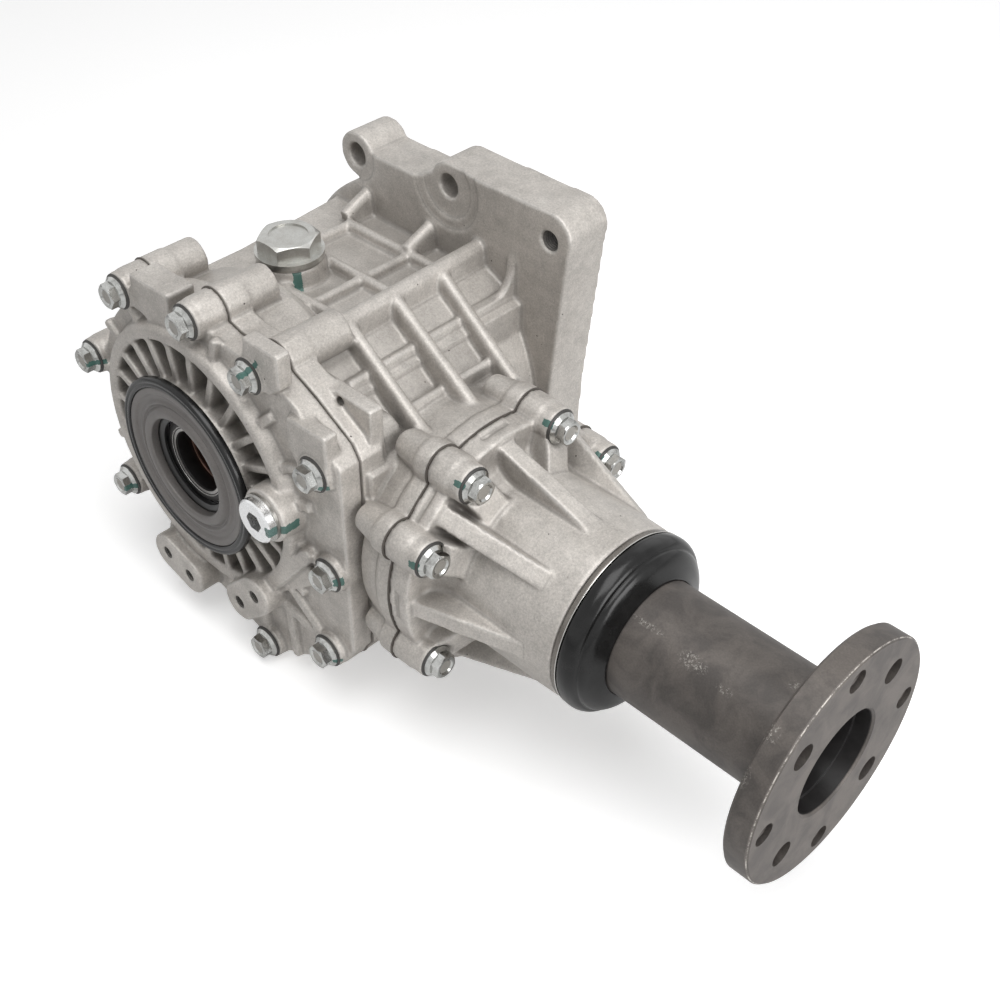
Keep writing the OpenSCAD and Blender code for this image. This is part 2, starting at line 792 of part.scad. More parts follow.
module pinion_housing() {
    color(cast_grey)
        to_mount()
            difference() {
                union() {
                    along_output(0)
                        rotate_extrude($fn = round_fine)
                            polygon([[0, pilot_in], [spigot_in_r, pilot_in], [spigot_in_r, pinion_joint],
                                [pinion_bolt_r - 2, pinion_joint], [pinion_bolt_r - 2, cone_start - 3],
                                [cone_end_r + 12, cone_start], [cone_end_r + 6, cone_start + 2.5],
                                [cone_end_r + 2.4, cone_start + 6.5], [cone_end_r + 0.8, cone_start + 12],
                                [cone_end_r + 0.4, cone_start + 20], [cone_end_r + 0.4, fin_end + 2],
                                [cone_end_r, cone_end], [0, cone_end]]);
                    along_output(pinion_joint)
                        linear_extrude(height = 12)
                            pinion_outline(-0.4);
                    along_output(pinion_joint)
                        at_pinion_bolts()
                            boss_with_web();
                    along_output(0)
                        for (a = fin_angles)
                            rotate([0, 0, a])
                                cone_fin();
                }
                pinion_housing_bores();
                pinion_housing_holes();
            }
}

// Bolt boss of the joint, tied to the round body by a web
module boss_with_web() {
    web_w = boss_r * 1.5;
    web_in = cone_end_r - pinion_bolt_r - 2;
    cylinder(r = boss_r - 2 * boss_step, h = pinion_boss_len + boss_spot, $fn = small_fn);
    rotate([90, 0, 0])
        translate([0, 0, -web_w / 2])
            linear_extrude(height = web_w)
                polygon([[web_in, 5], [0, 5], [0, pinion_boss_len - 1], [web_in, pinion_boss_len + 9]]);
}

// A flat-topped fin that runs out into the round body
module cone_fin() {
    rotate([90, 0, 0])
        translate([0, 0, -fin_w / 2])
            linear_extrude(height = fin_w)
                polygon([[40, cone_start - 6], [cone_start_r, cone_start - 6], [cone_start_r, cone_start],
                    [cone_end_r + 1.2, fin_end], [40, fin_end]]);
}

module pinion_housing_bores() {
    // Head bearing, shaft passage, tail bearing, oil seal
    along_output(pilot_in - 1)
        cylinder(r = head_bearing_r, h = head_bearing_at + head_bearing_w + 0.2 - pilot_in + 1,
            $fn = round_fine);
    along_output(pilot_in)
        cylinder(r = tail_bearing_r - 3.5, h = 200, $fn = round_fine);
    along_output(tail_bearing_at - 0.2)
        cylinder(r = tail_bearing_r, h = 100, $fn = round_fine);
    along_output(output_seal_at)
        cylinder(r = output_seal_r, h = 100, $fn = round_fine);
}

module pinion_housing_holes() {
    along_output(pinion_joint - 1)
        at_pinion_bolts()
            cylinder(r = bolt_r + 0.5, h = pinion_boss_len + 10, $fn = small_fn);
    // Flat seats for the bolt heads
    along_output(bolt_head_x)
        at_pinion_bolts()
            cylinder(r = bolt_flange_r + 1, h = 30, $fn = small_fn);
    // Pry slots in the edge of the joint flange
    along_output(pinion_joint + 3)
        for (a = [40.5, 91.5, 134, 181.5])
            rotate([0, 0, a])
                translate([pinion_bolt_r - 1.2, -9, 0])
                    cube([6, 18, 3.5]);
}

module pinion_sealant() {
    color([0.10, 0.10, 0.10])
        to_mount()
            along_output(pinion_joint - sealant_thk)
                linear_extrude(height = sealant_thk)
                    difference() {
                        pinion_outline(0.4);
                        circle(r = spigot_in_r + 0.6, $fn = round_fine);
                        for (a = pinion_bolt_angles)
                            rotate(a)
                                translate([pinion_bolt_r, 0])
                                    circle(r = bolt_r + 0.5, $fn = small_fn);
                    }
}

module pinion_bolts() {
    color(steel)
        to_mount()
            along_output(bolt_head_x)
                at_pinion_bolts()
                    flange_bolt(pinion_boss_len + 16);
}

// Plugs

module fill_plug() {
    head_z = fill_seat_z + 1.5;
    color(steel)
        translate([fill_at[0], fill_at[1] - output_setback, head_z])
            difference() {
                union() {
                    translate([0, 0, -16])
                        cylinder(r = fill_thread_r, h = 17, $fn = small_fn * 2);
                    cylinder(r = fill_flats / 2 + 3.9, h = 2.6, $fn = small_fn * 2);
                    intersection() {
                        cylinder(r = fill_flats / 2 / cos(30), h = 11, $fn = 6);
                        rotate_extrude($fn = small_fn * 2)
                            polygon([[0, 0], [fill_flats, 0], [fill_flats * 0.61, 9],
                                [fill_flats / 2 - 0.5, 11], [0, 11]]);
                    }
                }
                translate([0, 0, 10.2])
                    cylinder(r = fill_flats * 0.36, h = 2, $fn = small_fn * 2);
                // The plug is hollow from below
                translate([0, 0, -17])
                    cylinder(r = fill_thread_r - 3, h = 14, $fn = small_fn);
            }
}

module fill_washer() {
    color([0.74, 0.74, 0.74])
        translate([fill_at[0], fill_at[1] - output_setback, fill_seat_z])
            ring(fill_flats / 2 + 3.5, fill_thread_r + 0.3, 1.5);
}

module level_plug() {
    color([0.86, 0.86, 0.87])
        to_mount()
            translate([level_at[0], 0, level_at[1]])
                toward_cover(level_seat - 1.5)
                    difference() {
                        union() {
                            translate([0, 0, -12])
                                cylinder(r = level_thread_r, h = 13, $fn = small_fn);
                            rotate_extrude($fn = small_fn * 2)
                                polygon([[0, 0], [level_head_r, 0], [level_head_r, 3.8],
                                    [level_head_r - 0.8, 4.6], [0, 4.6]]);
                        }
                        translate([0, 0, -1])
                            cylinder(r = 4.9 / cos(30), h = 8, $fn = 6);
                    }
}

module level_washer() {
    color([0.74, 0.74, 0.74])
        to_mount()
            translate([level_at[0], 0, level_at[1]])
                toward_cover(level_seat)
                    ring(level_head_r + 1, level_thread_r + 0.3, 1.5);
}

// Seals and discs

module dust_disc() {
    color([0.22, 0.22, 0.22])
        to_mount()
            toward_cover(hub_top)
                rotate_extrude($fn = round_fine)
                    polygon([[cross_r + 4, 0], [seal_r - 1, 0], [seal_r, 2.4], [dust_disc_r - 3, 2.4],
                        [dust_disc_r - 3, 4.6], [seal_r + 1, 4.6], [seal_r - 2, 5.4],
                        [cross_r + 6, 5.4], [cross_r + 4, 4.4]]);
}

module dust_disc_rim() {
    color(rubber_black)
        to_mount()
            toward_cover(hub_top)
                rotate_extrude($fn = round_fine)
                    polygon([[dust_disc_r - 3 + seat_fit, 1], [dust_disc_r - 1, 0.6], [dust_disc_r, 1.6],
                        [dust_disc_r, 4.4], [dust_disc_r - 1, 5.5], [dust_disc_r - 2.2, 5.5],
                        [dust_disc_r - 3 + seat_fit, 4.6]]);
}

module cover_seal() {
    color(rubber_black)
        to_mount()
            toward_cover(hub_top + cover_seal_w)
                rotate_extrude($fn = round_fine)
                    polygon([[seal_r - seat_fit, 0.3], [seal_r - seat_fit, cover_seal_w],
                        [cross_r + 3, cover_seal_w], [cross_r + run_gap, cover_seal_w - 1],
                        [cross_r + run_gap, cover_seal_w - 2], [cross_r + 3, 2.6], [cross_r + 3, 0.3]]);
}

module mount_seal() {
    color(rubber_black)
        to_mount()
            toward_mount(mount_seal_at)
                lip_seal(seal_r, cross_r, seal_w);
}

module spigot_ring() {
    color(rubber_black)
        to_mount()
            toward_mount(output_setback + 1.5)
                translate([0, 0, 1.5])
                    rotate_extrude($fn = round_fine)
                        translate([spigot_r - spigot_ring_r - 0.05, 0])
                            circle(r = spigot_ring_r, $fn = small_fn);
}

module output_seal() {
    color(rubber_black)
        to_mount()
            along_output(output_seal_at)
                lip_seal(output_seal_r, sleeve_r, seal_w);
}

// Bearings

module cover_bearing() {
    to_mount()
        toward_cover(cover_bearing_at)
            children();
}

module mount_bearing() {
    to_mount()
        toward_mount(mount_bearing_at)
            children();
}

// The head bearing's big end looks to the gear
module head_bearing() {
    to_mount()
        along_output(head_bearing_at + head_bearing_w)
            mirror([0, 0, 1])
                children();
}

module tail_bearing() {
    to_mount()
        along_output(tail_bearing_at)
            children();
}

module cover_bearing_cup() {
    color(steel)
        cover_bearing()
            bearing_cup(cross_r, cross_bearing_r, cross_bearing_w);
}

module mount_bearing_cup() {
    color(steel)
        mount_bearing()
            bearing_cup(cross_r, cross_bearing_r, cross_bearing_w);
}

module head_bearing_cup() {
    color(steel)
        head_bearing()
            bearing_cup(stem_r, head_bearing_r, head_bearing_w);
}

module tail_bearing_cup() {
    color(steel)
        tail_bearing()
            bearing_cup(tail_stem_r, tail_bearing_r, tail_bearing_w);
}

module cover_bearing_cone() {
    color(steel)
        cover_bearing()
            bearing_cone(cross_r, cross_bearing_r, cross_bearing_w);
}

module mount_bearing_cone() {
    color(steel)
        mount_bearing()
            bearing_cone(cross_r, cross_bearing_r, cross_bearing_w);
}

module head_bearing_cone() {
    color(steel)
        head_bearing()
            bearing_cone(stem_r, head_bearing_r, head_bearing_w);
}

module tail_bearing_cone() {
    color(steel)
        tail_bearing()
            bearing_cone(tail_stem_r, tail_bearing_r, tail_bearing_w);
}

module cover_rollers() {
    color(steel)
        cover_bearing()
            bearing_rollers(cross_r, cross_bearing_r, cross_bearing_w, 22);
}

module mount_rollers() {
    color(steel)
        mount_bearing()
            bearing_rollers(cross_r, cross_bearing_r, cross_bearing_w, 22);
}

module head_rollers() {
    color(steel)
        head_bearing()
            bearing_rollers(stem_r, head_bearing_r, head_bearing_w, 18);
}

module tail_rollers() {
    color(steel)
        tail_bearing()
            bearing_rollers(tail_stem_r, tail_bearing_r, tail_bearing_w, 17);
}

// Cross shaft and ring gear

// Outline of splines: n teeth between two radii
function spline_points(n, r_root, r_tip) =
    [for (i = [0 : n - 1], p = [[-0.30, 0], [-0.17, 1], [0.17, 1], [0.30, 0]])
        let (a = 360 * (i + p[0]) / n, r = p[1] > 0 ? r_tip : r_root)
            [r * cos(a), r * sin(a)]];

module cross_shaft() {
    end_y = output_setback + cross_out;
    spline_from = end_y - spline_len;
    color(dark_steel)
        to_mount()
            difference() {
                union() {
                    toward_mount(0)
                        rotate_extrude($fn = round_fine)
                            polygon([[0, shaft_cover_end], [cross_r - 1, shaft_cover_end],
                                [cross_r, shaft_cover_end + 1], [cross_r, cover_bearing_at - 0.6],
                                [cross_r + 5, cover_bearing_at - 0.6], [cross_r + 5, shaft_flange_back],
                                [57, shaft_flange_back], [57, ring_back],
                                [ring_gear_bore_r - seat_fit, ring_back],
                                [ring_gear_bore_r - seat_fit, ring_back + 7],
                                [cross_r + 4, ring_back + 13], [cross_r + 4, mount_bearing_at + 0.6],
                                [cross_r, mount_bearing_at + 0.6], [cross_r, output_setback + 2],
                                [cross_r - 2.2, spline_from], [cross_r - 2.2, end_y - 1.5],
                                [cross_r - 3.5, end_y], [0, end_y]]);
                    toward_mount(spline_from)
                        linear_extrude(height = spline_len - 2)
                            polygon(spline_points(spline_teeth, cross_r - 2.4, cross_r - 0.6));
                }
                toward_mount(shaft_cover_end - 1)
                    cylinder(r = cross_bore_r, h = 300, $fn = round_fine);
                toward_cover(0)
                    for (i = [0 : ring_bolts - 1])
                        rotate([0, 0, i * 360 / ring_bolts])
                            translate([ring_bolt_circle_r, 0, 0])
                                cylinder(r = ring_bolt_r + 0.3, h = 100, $fn = small_fn);
            }
}

// A point of the ring gear: s is its distance from the apex along the tooth,
// t and h are its offsets across and above the tooth, a turns it into place
function ring_point(s, t, h, a) =
    let (z = s * t - output_drop)
        [s * cos(a) - z * sin(a), s * (h - gear_ratio) - gear_relief, s * sin(a) + z * cos(a)];

function round_point(p, r, y) =
    let (a = atan2(p[2], p[0]))
        [r * cos(a), y, r * sin(a)];

function ring_half(h) = PI * gear_module / 4 - play - h * tan(pressure_angle);

// Across one tooth: root, tip, tip, root
ring_tooth = [[-ring_half(-ring_dedendum), -ring_dedendum], [-ring_half(ring_addendum), ring_addendum],
    [ring_half(ring_addendum), ring_addendum], [ring_half(-ring_dedendum), -ring_dedendum]];

// The toothed ring: skewed teeth that taper to the apex on the output axis
module toothed_ring() {
    outer = [for (i = [0 : ring_teeth - 1], p = ring_tooth)
        ring_point(gear_outer, p[0], p[1], 360 * i / ring_teeth)];
    inner = [for (i = [0 : ring_teeth - 1], p = ring_tooth)
        ring_point(gear_inner, p[0], p[1], 360 * i / ring_teeth)];
    inner_back = [for (p = inner) round_point(p, ring_gear_bore_r - 1, ring_back)];
    outer_back = [for (p = outer) round_point(p, gear_outer + 2, ring_back)];
    n = len(outer);
    strips = [for (k = [0 : 3], i = [0 : n - 1])
        let (j = (i + 1) % n, a = k * n, b = (k + 1) % 4 * n)
            [a + i, a + j, b + j, b + i]];
    polyhedron(points = concat(outer, inner, inner_back, outer_back),
        faces = [for (q = strips, t = [[0, 1, 2], [0, 2, 3]]) [q[t[0]], q[t[1]], q[t[2]]]]);
}

module ring_gear() {
    color([0.36, 0.35, 0.34])
        to_mount()
            difference() {
                toothed_ring();
                toward_cover(10)
                    cylinder(r = ring_gear_bore_r, h = 80, $fn = round_fine);
                toward_cover(ring_back + 10)
                    for (i = [0 : ring_bolts - 1])
                        rotate([0, 0, i * 360 / ring_bolts])
                            translate([ring_bolt_circle_r, 0, 0])
                                cylinder(r = ring_bolt_r + thread_fit, h = 20, $fn = small_fn);
            }
}

module ring_gear_bolts() {
    color(steel)
        to_mount()
            toward_cover(shaft_flange_back)
                for (i = [0 : ring_bolts - 1])
                    rotate([0, 0, i * 360 / ring_bolts])
                        translate([ring_bolt_circle_r, 0, 0])
                            flange_bolt(shaft_flange_thk + 8, 9, ring_bolt_r, 6.2);
}

module shaft_bush() {
    color([0.45, 0.26, 0.18])
        to_mount()
            toward_cover(-cover_joint + 20)
                ring(cross_bore_r - seat_fit, cross_bore_r - 2, 30);
}

// Pinion and output flange

function involute(a) = tan(a) - a * PI / 180;
pinion_base = gear_ratio * cos(pressure_angle);

// Half angle of a pinion tooth at a radius, all per unit of distance from the apex
function pinion_half(r) =
    ((PI * gear_module / 4 - play) / gear_ratio + involute(pressure_angle)
        - involute(acos(min(1, pinion_base / max(r, pinion_base))))) * 180 / PI;

pinion_radii = [gear_ratio - pinion_dedendum, pinion_base, gear_ratio, gear_ratio + pinion_addendum / 2,
    gear_ratio + pinion_addendum];

// Section of the pinion at unit distance from the apex, with a gap toward the ring gear
module pinion_section() {
    flank = [for (r = pinion_radii) [r, pinion_half(r)]];
    polygon([for (i = [0 : pinion_teeth - 1], p = concat([for (f = flank) [f[0], -f[1]]],
            [for (i = [len(flank) - 1 : -1 : 0]) flank[i]]))
        let (a = 180 + 360 * (i + 0.5) / pinion_teeth + p[1])
            [p[0] * cos(a), p[0] * sin(a)]]);
}

module pinion() {
    color([0.36, 0.35, 0.34])
        to_mount()
            along_output(0) {
                translate([0, 0, gear_inner])
                    linear_extrude(height = gear_face, scale = gear_outer / gear_inner)
                        scale(gear_inner)
                            pinion_section();
                rotate_extrude($fn = round_fine)
                    polygon([[0, gear_outer - 2], [22, gear_outer - 2], [25, gear_outer + 4],
                        [25, head_bearing_at - 0.3], [stem_r, head_bearing_at - 0.3],
                        [stem_r, head_bearing_at + head_bearing_w + 2],
                        [tail_stem_r, head_bearing_at + head_bearing_w + 2],
                        [tail_stem_r, nut_at - 3], [12, nut_at - 3], [12, nut_at + 19],
                        [10.5, nut_at + 20.5],
                        [0, nut_at + 20.5]]);
            }
}

module crush_sleeve() {
    from = head_bearing_at + head_bearing_w + 2.2;
    to = tail_bearing_at + 0.8;
    mid = (from + to) / 2;
    color(steel)
        to_mount()
            along_output(0)
                rotate_extrude($fn = round_fine)
                    polygon([[tail_stem_r + seat_fit, from], [spacer_r - 2, from], [spacer_r - 2, mid - 9],
                        [spacer_r, mid - 3], [spacer_r, mid + 3], [spacer_r - 2, mid + 9],
                        [spacer_r - 2, to], [tail_stem_r + seat_fit, to]]);
}

module output_flange() {
    edge = 1.3;
    neck = tube_start - 5;
    color(dark_steel)
        to_mount()
            along_output(0)
                difference() {
                    rotate_extrude($fn = round_fine)
                        polygon([[tail_stem_r + seat_fit, tube_inner_end + 0.2],
                            [sleeve_r - 1, tube_inner_end + 0.2],
                            [sleeve_r, tube_inner_end + 1.2], [sleeve_r, neck], [tube_r, tube_start],
                            [tube_r, flange_back - 3], [tube_r + 3, flange_back],
                            [flange_r - edge, flange_back],
                            [flange_r, flange_back + edge], [flange_r, output_reach - edge],
                            [flange_r - edge, output_reach], [pilot_r + 1, output_reach],
                            [pilot_r, output_reach - 1], [pilot_r, output_reach - 9],
                            [pilot_r - 1.6, output_reach - 9], [pilot_r - 1.6, nut_at - 1],
                            [tail_stem_r + seat_fit, nut_at - 1]]);
                    for (i = [0 : 7])
                        rotate([0, 0, 45 * i])
                            translate([i % 2 == 0 ? flange_thread_circle_r : flange_hole_circle_r, 0,
                                flange_back - 1])
                                cylinder(r = i % 2 == 0 ? flange_thread_r : flange_hole_r,
                                    h = flange_thk + 2, $fn = small_fn);
                }
}

module neck_deflector() {
    color(rubber_black)
        to_mount()
            along_output(cone_end)
                rotate_extrude($fn = round_fine)
                    polygon([[cone_end_r - 4, run_gap + 0.2], [cone_end_r + 0.4, run_gap + 0.2],
                        [cone_end_r + 2, 3], [cone_end_r + 3.3, 6], [cone_end_r + 3.7, 9.5],
                        [cone_end_r + 3, 13], [cone_end_r + 0.6, 15], [cone_end_r - 3, 15.6],
                        [cone_end_r - 4.4, 17], [cone_end_r - 8, 18.4], [tube_r + 1.5, 21],
                        [tube_r + seat_fit, 21], [tube_r + seat_fit, 13], [cone_end_r - 6, 11],
                        [cone_end_r - 4, 8]]);
}

module pinion_washer() {
    color(steel)
        to_mount()
            along_output(nut_at - 1)
                ring(20, 12.1, 4);
}

module pinion_nut() {
    color(steel)
        to_mount()
            along_output(nut_at + 3)
                difference() {
                    intersection() {
                        cylinder(r = 20.8, h = 14, $fn = 6);
                        rotate_extrude($fn = small_fn * 2)
                            polygon([[0, 0], [22, 0], [22, 11], [18, 14], [0, 14]]);
                    }
                    translate([0, 0, -1])
                        cylinder(r = 12 + thread_fit, h = 20, $fn = small_fn);
                }
}

main_housing();
side_cover();
cover_sealant();
cover_bolts();
cover_dowels();
pinion_housing();
pinion_sealant();
pinion_bolts();
fill_plug();
fill_washer();
level_plug();
level_washer();
dust_disc();
dust_disc_rim();
cover_seal();
mount_seal();
spigot_ring();
output_seal();
cover_bearing_cup();
mount_bearing_cup();
head_bearing_cup();
tail_bearing_cup();
cross_shaft();
ring_gear();
ring_gear_bolts();
cover_bearing_cone();
mount_bearing_cone();
shaft_bush();
pinion();
head_bearing_cone();
crush_sleeve();
tail_bearing_cone();
output_flange();
neck_deflector();
pinion_washer();
pinion_nut();
cover_rollers();
mount_rollers();
head_rollers();
tail_rollers();
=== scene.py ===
import json
import math

import bmesh
import bpy
import numpy as np
from mathutils import Matrix, Vector
from mathutils.bvhtree import BVHTree

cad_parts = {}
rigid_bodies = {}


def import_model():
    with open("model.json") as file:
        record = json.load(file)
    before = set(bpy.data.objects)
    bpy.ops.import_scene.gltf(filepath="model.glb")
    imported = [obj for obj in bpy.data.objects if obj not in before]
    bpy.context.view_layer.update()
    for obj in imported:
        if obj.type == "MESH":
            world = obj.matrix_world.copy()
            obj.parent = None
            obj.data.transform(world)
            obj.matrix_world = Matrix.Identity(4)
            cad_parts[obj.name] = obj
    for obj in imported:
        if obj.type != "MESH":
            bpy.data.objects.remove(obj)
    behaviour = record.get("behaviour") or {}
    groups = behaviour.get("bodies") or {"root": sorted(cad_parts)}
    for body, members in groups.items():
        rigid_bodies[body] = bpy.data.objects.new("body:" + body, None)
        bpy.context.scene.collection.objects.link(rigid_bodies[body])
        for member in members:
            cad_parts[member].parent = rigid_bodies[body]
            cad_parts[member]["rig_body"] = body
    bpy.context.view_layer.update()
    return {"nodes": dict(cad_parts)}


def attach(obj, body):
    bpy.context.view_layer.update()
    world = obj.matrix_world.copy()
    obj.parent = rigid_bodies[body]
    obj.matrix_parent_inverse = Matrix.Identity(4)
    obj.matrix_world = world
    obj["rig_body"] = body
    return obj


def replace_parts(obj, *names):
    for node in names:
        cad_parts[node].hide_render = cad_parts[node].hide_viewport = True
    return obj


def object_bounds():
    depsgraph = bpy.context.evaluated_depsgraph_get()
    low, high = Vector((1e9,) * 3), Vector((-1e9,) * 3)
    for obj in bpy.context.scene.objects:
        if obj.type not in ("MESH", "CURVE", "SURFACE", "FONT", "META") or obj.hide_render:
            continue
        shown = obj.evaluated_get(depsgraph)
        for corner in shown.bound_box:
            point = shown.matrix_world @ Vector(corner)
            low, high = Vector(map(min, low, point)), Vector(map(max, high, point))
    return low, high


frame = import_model()
nodes = frame["nodes"]
scene = bpy.context.scene
mm = 0.001
print("stage: frame loaded with", len(nodes), "CAD nodes")


# Small helpers for meshes and node trees

def addPiece(name, mesh, material, body):
    piece = bpy.data.objects.new(name, mesh)
    scene.collection.objects.link(piece)
    mesh.materials.clear()
    mesh.materials.append(material)
    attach(piece, body)
    return piece


def addNode(tree, kind, inputs=None, **settings):
    made = tree.nodes.new(kind)
    for key, value in settings.items():
        setattr(made, key, value)
    for key, value in (inputs or {}).items():
        if isinstance(value, bpy.types.NodeSocket):
            tree.links.new(value, made.inputs[key])
        else:
            made.inputs[key].default_value = value
    return made


def mathNode(tree, operation, a, b=0.0, clamp=False):
    made = addNode(tree, "ShaderNodeMath", {0: a, 1: b}, operation=operation)
    made.use_clamp = clamp
    return made.outputs[0]


def vectorNode(tree, operation, a, b=None, output=0):
    inputs = {0: a} if b is None else {0: a, 1: b}
    return addNode(tree, "ShaderNodeVectorMath", inputs, operation=operation).outputs[output]


def rampNode(tree, source, stops):
    # stops are (place, value from 0 to 1) or (place, colour)
    made = addNode(tree, "ShaderNodeValToRGB", {"Fac": source})
    ramp = made.color_ramp
    while len(ramp.elements) < len(stops):
        ramp.elements.new(0.5)
    for element, (place, value) in zip(ramp.elements, stops):
        element.position = place
        shade = (value, value, value) if isinstance(value, (int, float)) else value
        element.color = (*shade, 1)
    return made.outputs["Color"]


def mixColour(tree, factor, a, b, blend="MIX"):
    made = tree.nodes.new("ShaderNodeMix")
    made.data_type = "RGBA"
    made.blend_type = blend
    for index, value in ((0, factor), (6, a), (7, b)):
        if isinstance(value, bpy.types.NodeSocket):
            tree.links.new(value, made.inputs[index])
        elif index and len(value) == 3:
            made.inputs[index].default_value = (*value, 1)
        else:
            made.inputs[index].default_value = value
    return made.outputs[2]


def noiseNode(tree, place, size, detail=2.0, roughness=0.5, distortion=0.0):
    # size is the width of one blotch in metres
    made = addNode(tree, "ShaderNodeTexNoise",
                   {"Vector": place, "Scale": 1 / size, "Detail": detail,
                    "Roughness": roughness, "Distortion": distortion})
    return made.outputs["Fac"]


def newMaterial(name):
    material = bpy.data.materials.new(name)
    material.use_nodes = True
    tree = material.node_tree
    shader = tree.nodes["Principled BSDF"]
    place = tree.nodes.new("ShaderNodeTexCoord").outputs["Object"]
    return material, tree, shader, place


def setShader(tree, shader, **values):
    names = {"colour": "Base Color", "metal": "Metallic", "roughness": "Roughness",
             "normal": "Normal", "coat": "Coat Weight", "coatRoughness": "Coat Roughness",
             "specular": "Specular IOR Level"}
    for key, value in values.items():
        socket = shader.inputs[names[key]]
        if isinstance(value, bpy.types.NodeSocket):
            tree.links.new(value, socket)
        elif key == "colour":
            socket.default_value = (*value, 1)
        else:
            socket.default_value = value


def bumpNode(tree, height, distance, strength):
    inputs = {"Height": height, "Distance": distance, "Strength": strength}
    return addNode(tree, "ShaderNodeBump", inputs).outputs["Normal"]


# A point on each axis, in mm, and the way it runs
crossAxis = ((0, 0, 0), (0, -1, 0))
outputAxis = ((0, -108.5, -10), (1, 0, 0))

# Paint marks across the bolts, after they were tightened.
# Each is a bolt's seat, the way the bolt points, the way the stripe runs from it, where the
# stripe starts and ends on that way, its half width, and how far it reaches below and above
# the seat, in mm.
paint = {
    "colour": (0.006, 0.090, 0.072),
    "cover": 0.88,
    "ragged": 1.1,  # how far the edges stray, in mm
    "raggedScale": 520,  # strays per metre
    "marks": [
        ((-91, -183.5, 19.3), (0, -1, 0), (1, 0, 0.10), 1, 11, 1.3, -2, 8),
        ((53, -183.5, 81), (0, -1, 0), (0.55, 0, 0.85), 0, 13, 1.4, -2, 8),
        ((95.3, -183.5, 47), (0, -1, 0), (0.9, 0, -0.4), 6, 12.5, 1.7, -2, 2.5),
        ((66, -195.5, 9), (0, -1, 0), (1, 0, -0.05), 8.5, 17, 2.7, -12, 5),
        ((99.4, -183.5, -15), (0, -1, 0), (1, 0, 0.15), 7, 16.5, 2.3, -2, 2.5),
        ((93.3, -183.5, -73), (0, -1, 0), (1, 0, -0.1), 5, 11, 1.2, -2, 3),
        ((-77.3, -183.5, -59.6), (0, -1, 0), (1, 0, 0.1), 1, 9, 1.6, -2, 8),
        ((-20, -98.5, 77), (0, 0, 1), (0.88, -0.47, 0), 13.5, 20, 2.3, -11, 0.5),
        ((156, -81.1, 51.5), (1, 0, 0), (0, -0.8, 0.6), 7, 12.5, 1.8, -4, 1.5),
        ((156, -139.1, 50), (1, 0, 0), (0, -0.85, 0.5), 7, 12, 1.6, -4, 1.5),
        ((156, -167.4, 22.6), (1, 0, 0), (0, -1, 0.2), 7, 12.5, 1.9, -4, 1.5),
        ((156, -43.5, 7.4), (1, 0, 0), (0, -0.6, 0.8), 7, 11, 1.3, -3, 1.5),
    ],
}


def paintMask(tree, place):
    # A stripe runs one way from each bolt's middle, over head, flange and boss, with ragged edges
    ragged = addNode(tree, "ShaderNodeTexNoise",
                     {"Vector": place, "Scale": paint["raggedScale"], "Detail": 3.0})
    shift = vectorNode(tree, "SUBTRACT", ragged.outputs["Color"], (0.5, 0.5, 0.5))
    shift = addNode(tree, "ShaderNodeVectorMath", {0: shift, "Scale": 2 * paint["ragged"] * mm},
                    operation="SCALE")
    moved = vectorNode(tree, "ADD", place, shift.outputs[0])
    total = None
    for seat, axis, way, first, last, half, below, above in paint["marks"]:
        axis, along = Vector(axis), Vector(way).normalized()
        offset = vectorNode(tree, "SUBTRACT", moved, Vector(seat) * mm)
        run, across, height = (vectorNode(tree, "DOT_PRODUCT", offset, line, "Value")
                               for line in (along, axis.cross(along), axis))
        inside = mathNode(tree, "LESS_THAN", mathNode(tree, "ABSOLUTE", across), half * mm)
        for value, low, high in ((run, first, last), (height, below, above)):
            inside = mathNode(tree, "MULTIPLY", inside, mathNode(tree, "GREATER_THAN", value, low * mm))
            inside = mathNode(tree, "MULTIPLY", inside, mathNode(tree, "LESS_THAN", value, high * mm))
        total = inside if total is None else mathNode(tree, "MAXIMUM", total, inside)
    return mathNode(tree, "MULTIPLY", total, paint["cover"])


# Finishes

castLook = {
    "colour": (0.49, 0.462, 0.430),
    "shade": (0.39, 0.365, 0.337),
    "rimWearAndHighlight": (0.66, 0.64, 0.61),
    "speck": (0.78, 0.76, 0.72),
    "pit": (0.07, 0.06, 0.055),
    "metal": 0.35,
    "roughness": 0.46,
    # rims lightened: edge wear, and partly a painted highlight
    "rim": 0.35,
    # painted shade in hollows and creases
    "hollow": 0.50,
    "creaseShadeColour": (0.19, 0.178, 0.164),
    # painted shade in the pockets, driven by the pocket attribute
    "pocketShade": 0.54,
    "pocketShadeColour": (0.13, 0.120, 0.110),
    # widths of the blotches, in mm
    "cloudSize": 34,
    "blotchSize": 7,
    "grainSize": 1.1,
    "fineSize": 0.45,
    "pitSpacing": 9,
    "pitPatch": 14,
    "bump": 0.20,  # depth of the skin, in mm
    "bumpStrength": 0.55,
}


